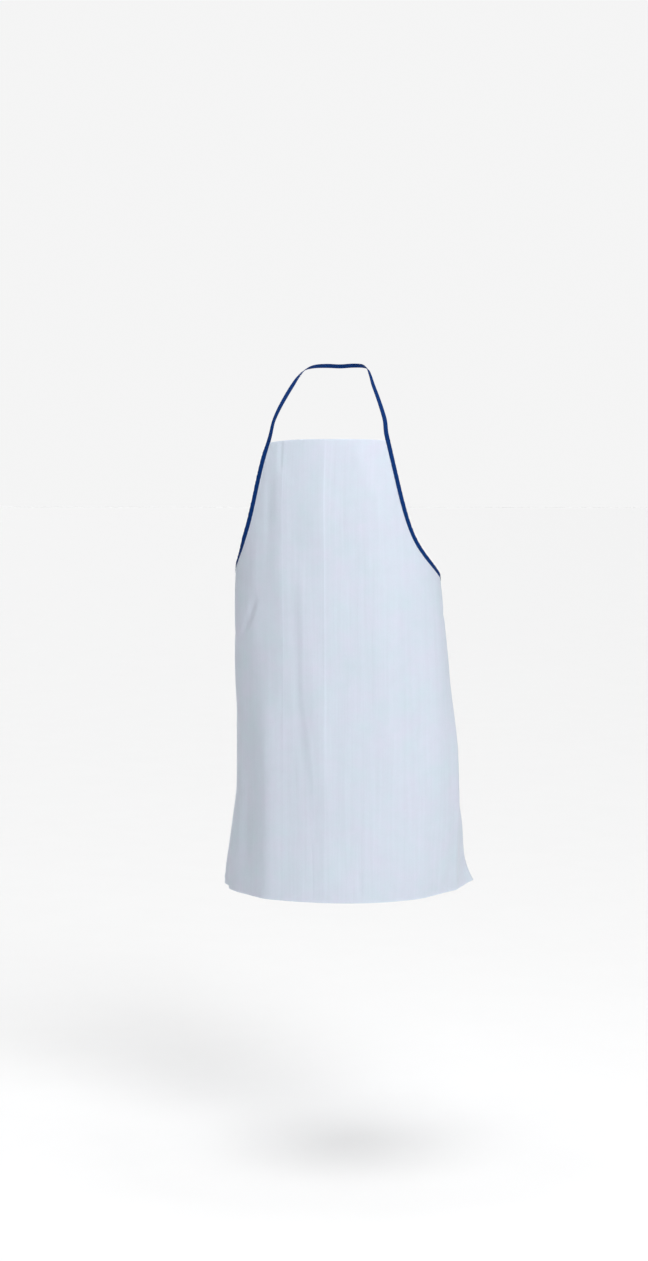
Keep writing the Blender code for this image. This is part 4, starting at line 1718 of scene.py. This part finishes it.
@dataclass
class Studio:
    """A plain pale floor, soft light and the photograph's camera."""

    floor_height: float = -1.565
    floor_reach: float = 400.0
    azimuth: float = 10.0
    distance: float = 4.5
    eye_height: float = -0.265
    eye_aside: float = -0.032
    tilt_down: float = 3.319
    lens: float = 64.23
    sensor: float = 36.0
    white: tuple[float, float, float, float] = (1.0, 1.0, 1.0, 1.0)
    backdrop: float = 0.91
    ambient: float = 0.08
    bib_place: tuple[float, float, float] = (0.0, -0.19, -0.30)
    panel_place: tuple[float, float, float] = (1.34, -2.33, 1.67)
    panel_size: float = 1.6
    panel_power: float = 25.0
    soft_lights: tuple[SoftLight, ...] = (
        SoftLight("key", 38.0, 34.0, 30.0, 0.86),
        SoftLight("overhead", 0.0, 88.0, 50.0, 2.02),
        SoftLight("back", 202.0, 26.0, 16.0, 0.75),
    )

    def build_floor(self) -> None:
        """A level plane under the wearer's feet."""
        square = ((-1, -1), (1, -1), (1, 1), (-1, 1))
        corners = [(x * self.floor_reach, y * self.floor_reach, self.floor_height) for x, y in square]
        mesh = bpy.data.meshes.new("floor")
        mesh.from_pydata(corners, [], [(0, 1, 2, 3)])
        mesh.materials.append(FloorFinish().material())
        floor = bpy.data.objects.new("floor", mesh)
        bpy.context.scene.collection.objects.link(floor)

    def build_light_panel(self) -> None:
        """A square soft light above the front, which looks at the bib and lights it more than the hem."""
        light = bpy.data.lights.new("light_panel", "AREA")
        light.size = self.panel_size
        light.energy = self.panel_power
        lamp = bpy.data.objects.new("light_panel", light)
        lamp.location = self.panel_place
        toward_bib = Vector(self.bib_place) - lamp.location
        lamp.rotation_euler = toward_bib.to_track_quat("-Z", "Y").to_euler()
        bpy.context.scene.collection.objects.link(lamp)

    @staticmethod
    def build_light(soft: SoftLight) -> None:
        """Makes one far soft light.

        Args:
            soft: The light's facts.
        """
        light = bpy.data.lights.new(soft.name, "SUN")
        light.angle = math.radians(soft.softness)
        light.energy = soft.strength
        lamp = bpy.data.objects.new(soft.name, light)
        toward_light = Vector(facing_vector(soft.facing, soft.rise))
        lamp.rotation_euler = toward_light.to_track_quat("Z", "Y").to_euler()
        bpy.context.scene.collection.objects.link(lamp)

    def build_world(self) -> None:
        """A pale backdrop to the camera, and a much weaker even light on the apron."""
        world = bpy.data.worlds.new("studio")
        bpy.context.scene.world = world
        world.use_nodes = True
        graph = Graph(world.node_tree)
        output = world.node_tree.nodes["World Output"]
        seen = world.node_tree.nodes["Background"]
        seen.inputs["Color"].default_value = self.white
        seen.inputs["Strength"].default_value = self.backdrop
        lighting = graph.add("ShaderNodeBackground", {"Color": self.white, "Strength": self.ambient})
        ray = graph.add("ShaderNodeLightPath")
        inputs = {0: ray.outputs["Is Camera Ray"], 1: lighting.outputs[0], 2: seen.outputs[0]}
        mixed = graph.add("ShaderNodeMixShader", inputs)
        graph.link(mixed.outputs[0], output.inputs["Surface"])

    def build_camera(self) -> None:
        """The camera, at the photograph's height and angle."""
        data = bpy.data.cameras.new("camera")
        data.lens = self.lens
        data.sensor_width = self.sensor
        camera = bpy.data.objects.new("camera", data)
        turn = math.radians(self.azimuth)
        right = Vector((math.cos(turn), math.sin(turn), 0.0))
        ahead = Vector((-math.sin(turn), math.cos(turn), 0.0))
        camera.location = right * self.eye_aside - ahead * self.distance + Vector((0, 0, self.eye_height))
        camera.rotation_euler = (math.radians(90 - self.tilt_down), 0.0, turn)
        bpy.context.scene.collection.objects.link(camera)
        bpy.context.scene.camera = camera

    def build(self) -> None:
        """Makes the whole studio."""
        self.build_camera()
        self.build_floor()
        self.build_world()
        self.build_light_panel()
        for soft in self.soft_lights:
            self.build_light(soft)
        bpy.context.scene.view_settings.view_transform = "Standard"
        LOG.info("studio: camera %.0f degrees round", self.azimuth)


def main() -> None:
    """Builds the studio and then the apron, piece by piece."""
    logging.basicConfig(level=logging.INFO, format="%(name)s: %(message)s")
    Studio().build()
    collection = bpy.data.collections.new("apron_looks")
    bpy.context.scene.collection.children.link(collection)
    maker = MeshMaker(collection)
    palette = Palette.mixed()
    cloth = WornCloth()
    BodyPanel(cloth).build(maker, palette)
    bindings = {side: ArmholeBinding(cloth, side) for side in Side}
    for binding in bindings.values():
        binding.build(maker, palette)
    work = TapeWork(bindings)
    work.build(maker, palette)
    WaistKnot(work).build(maker, palette)


if __name__ == "__main__":
    main()
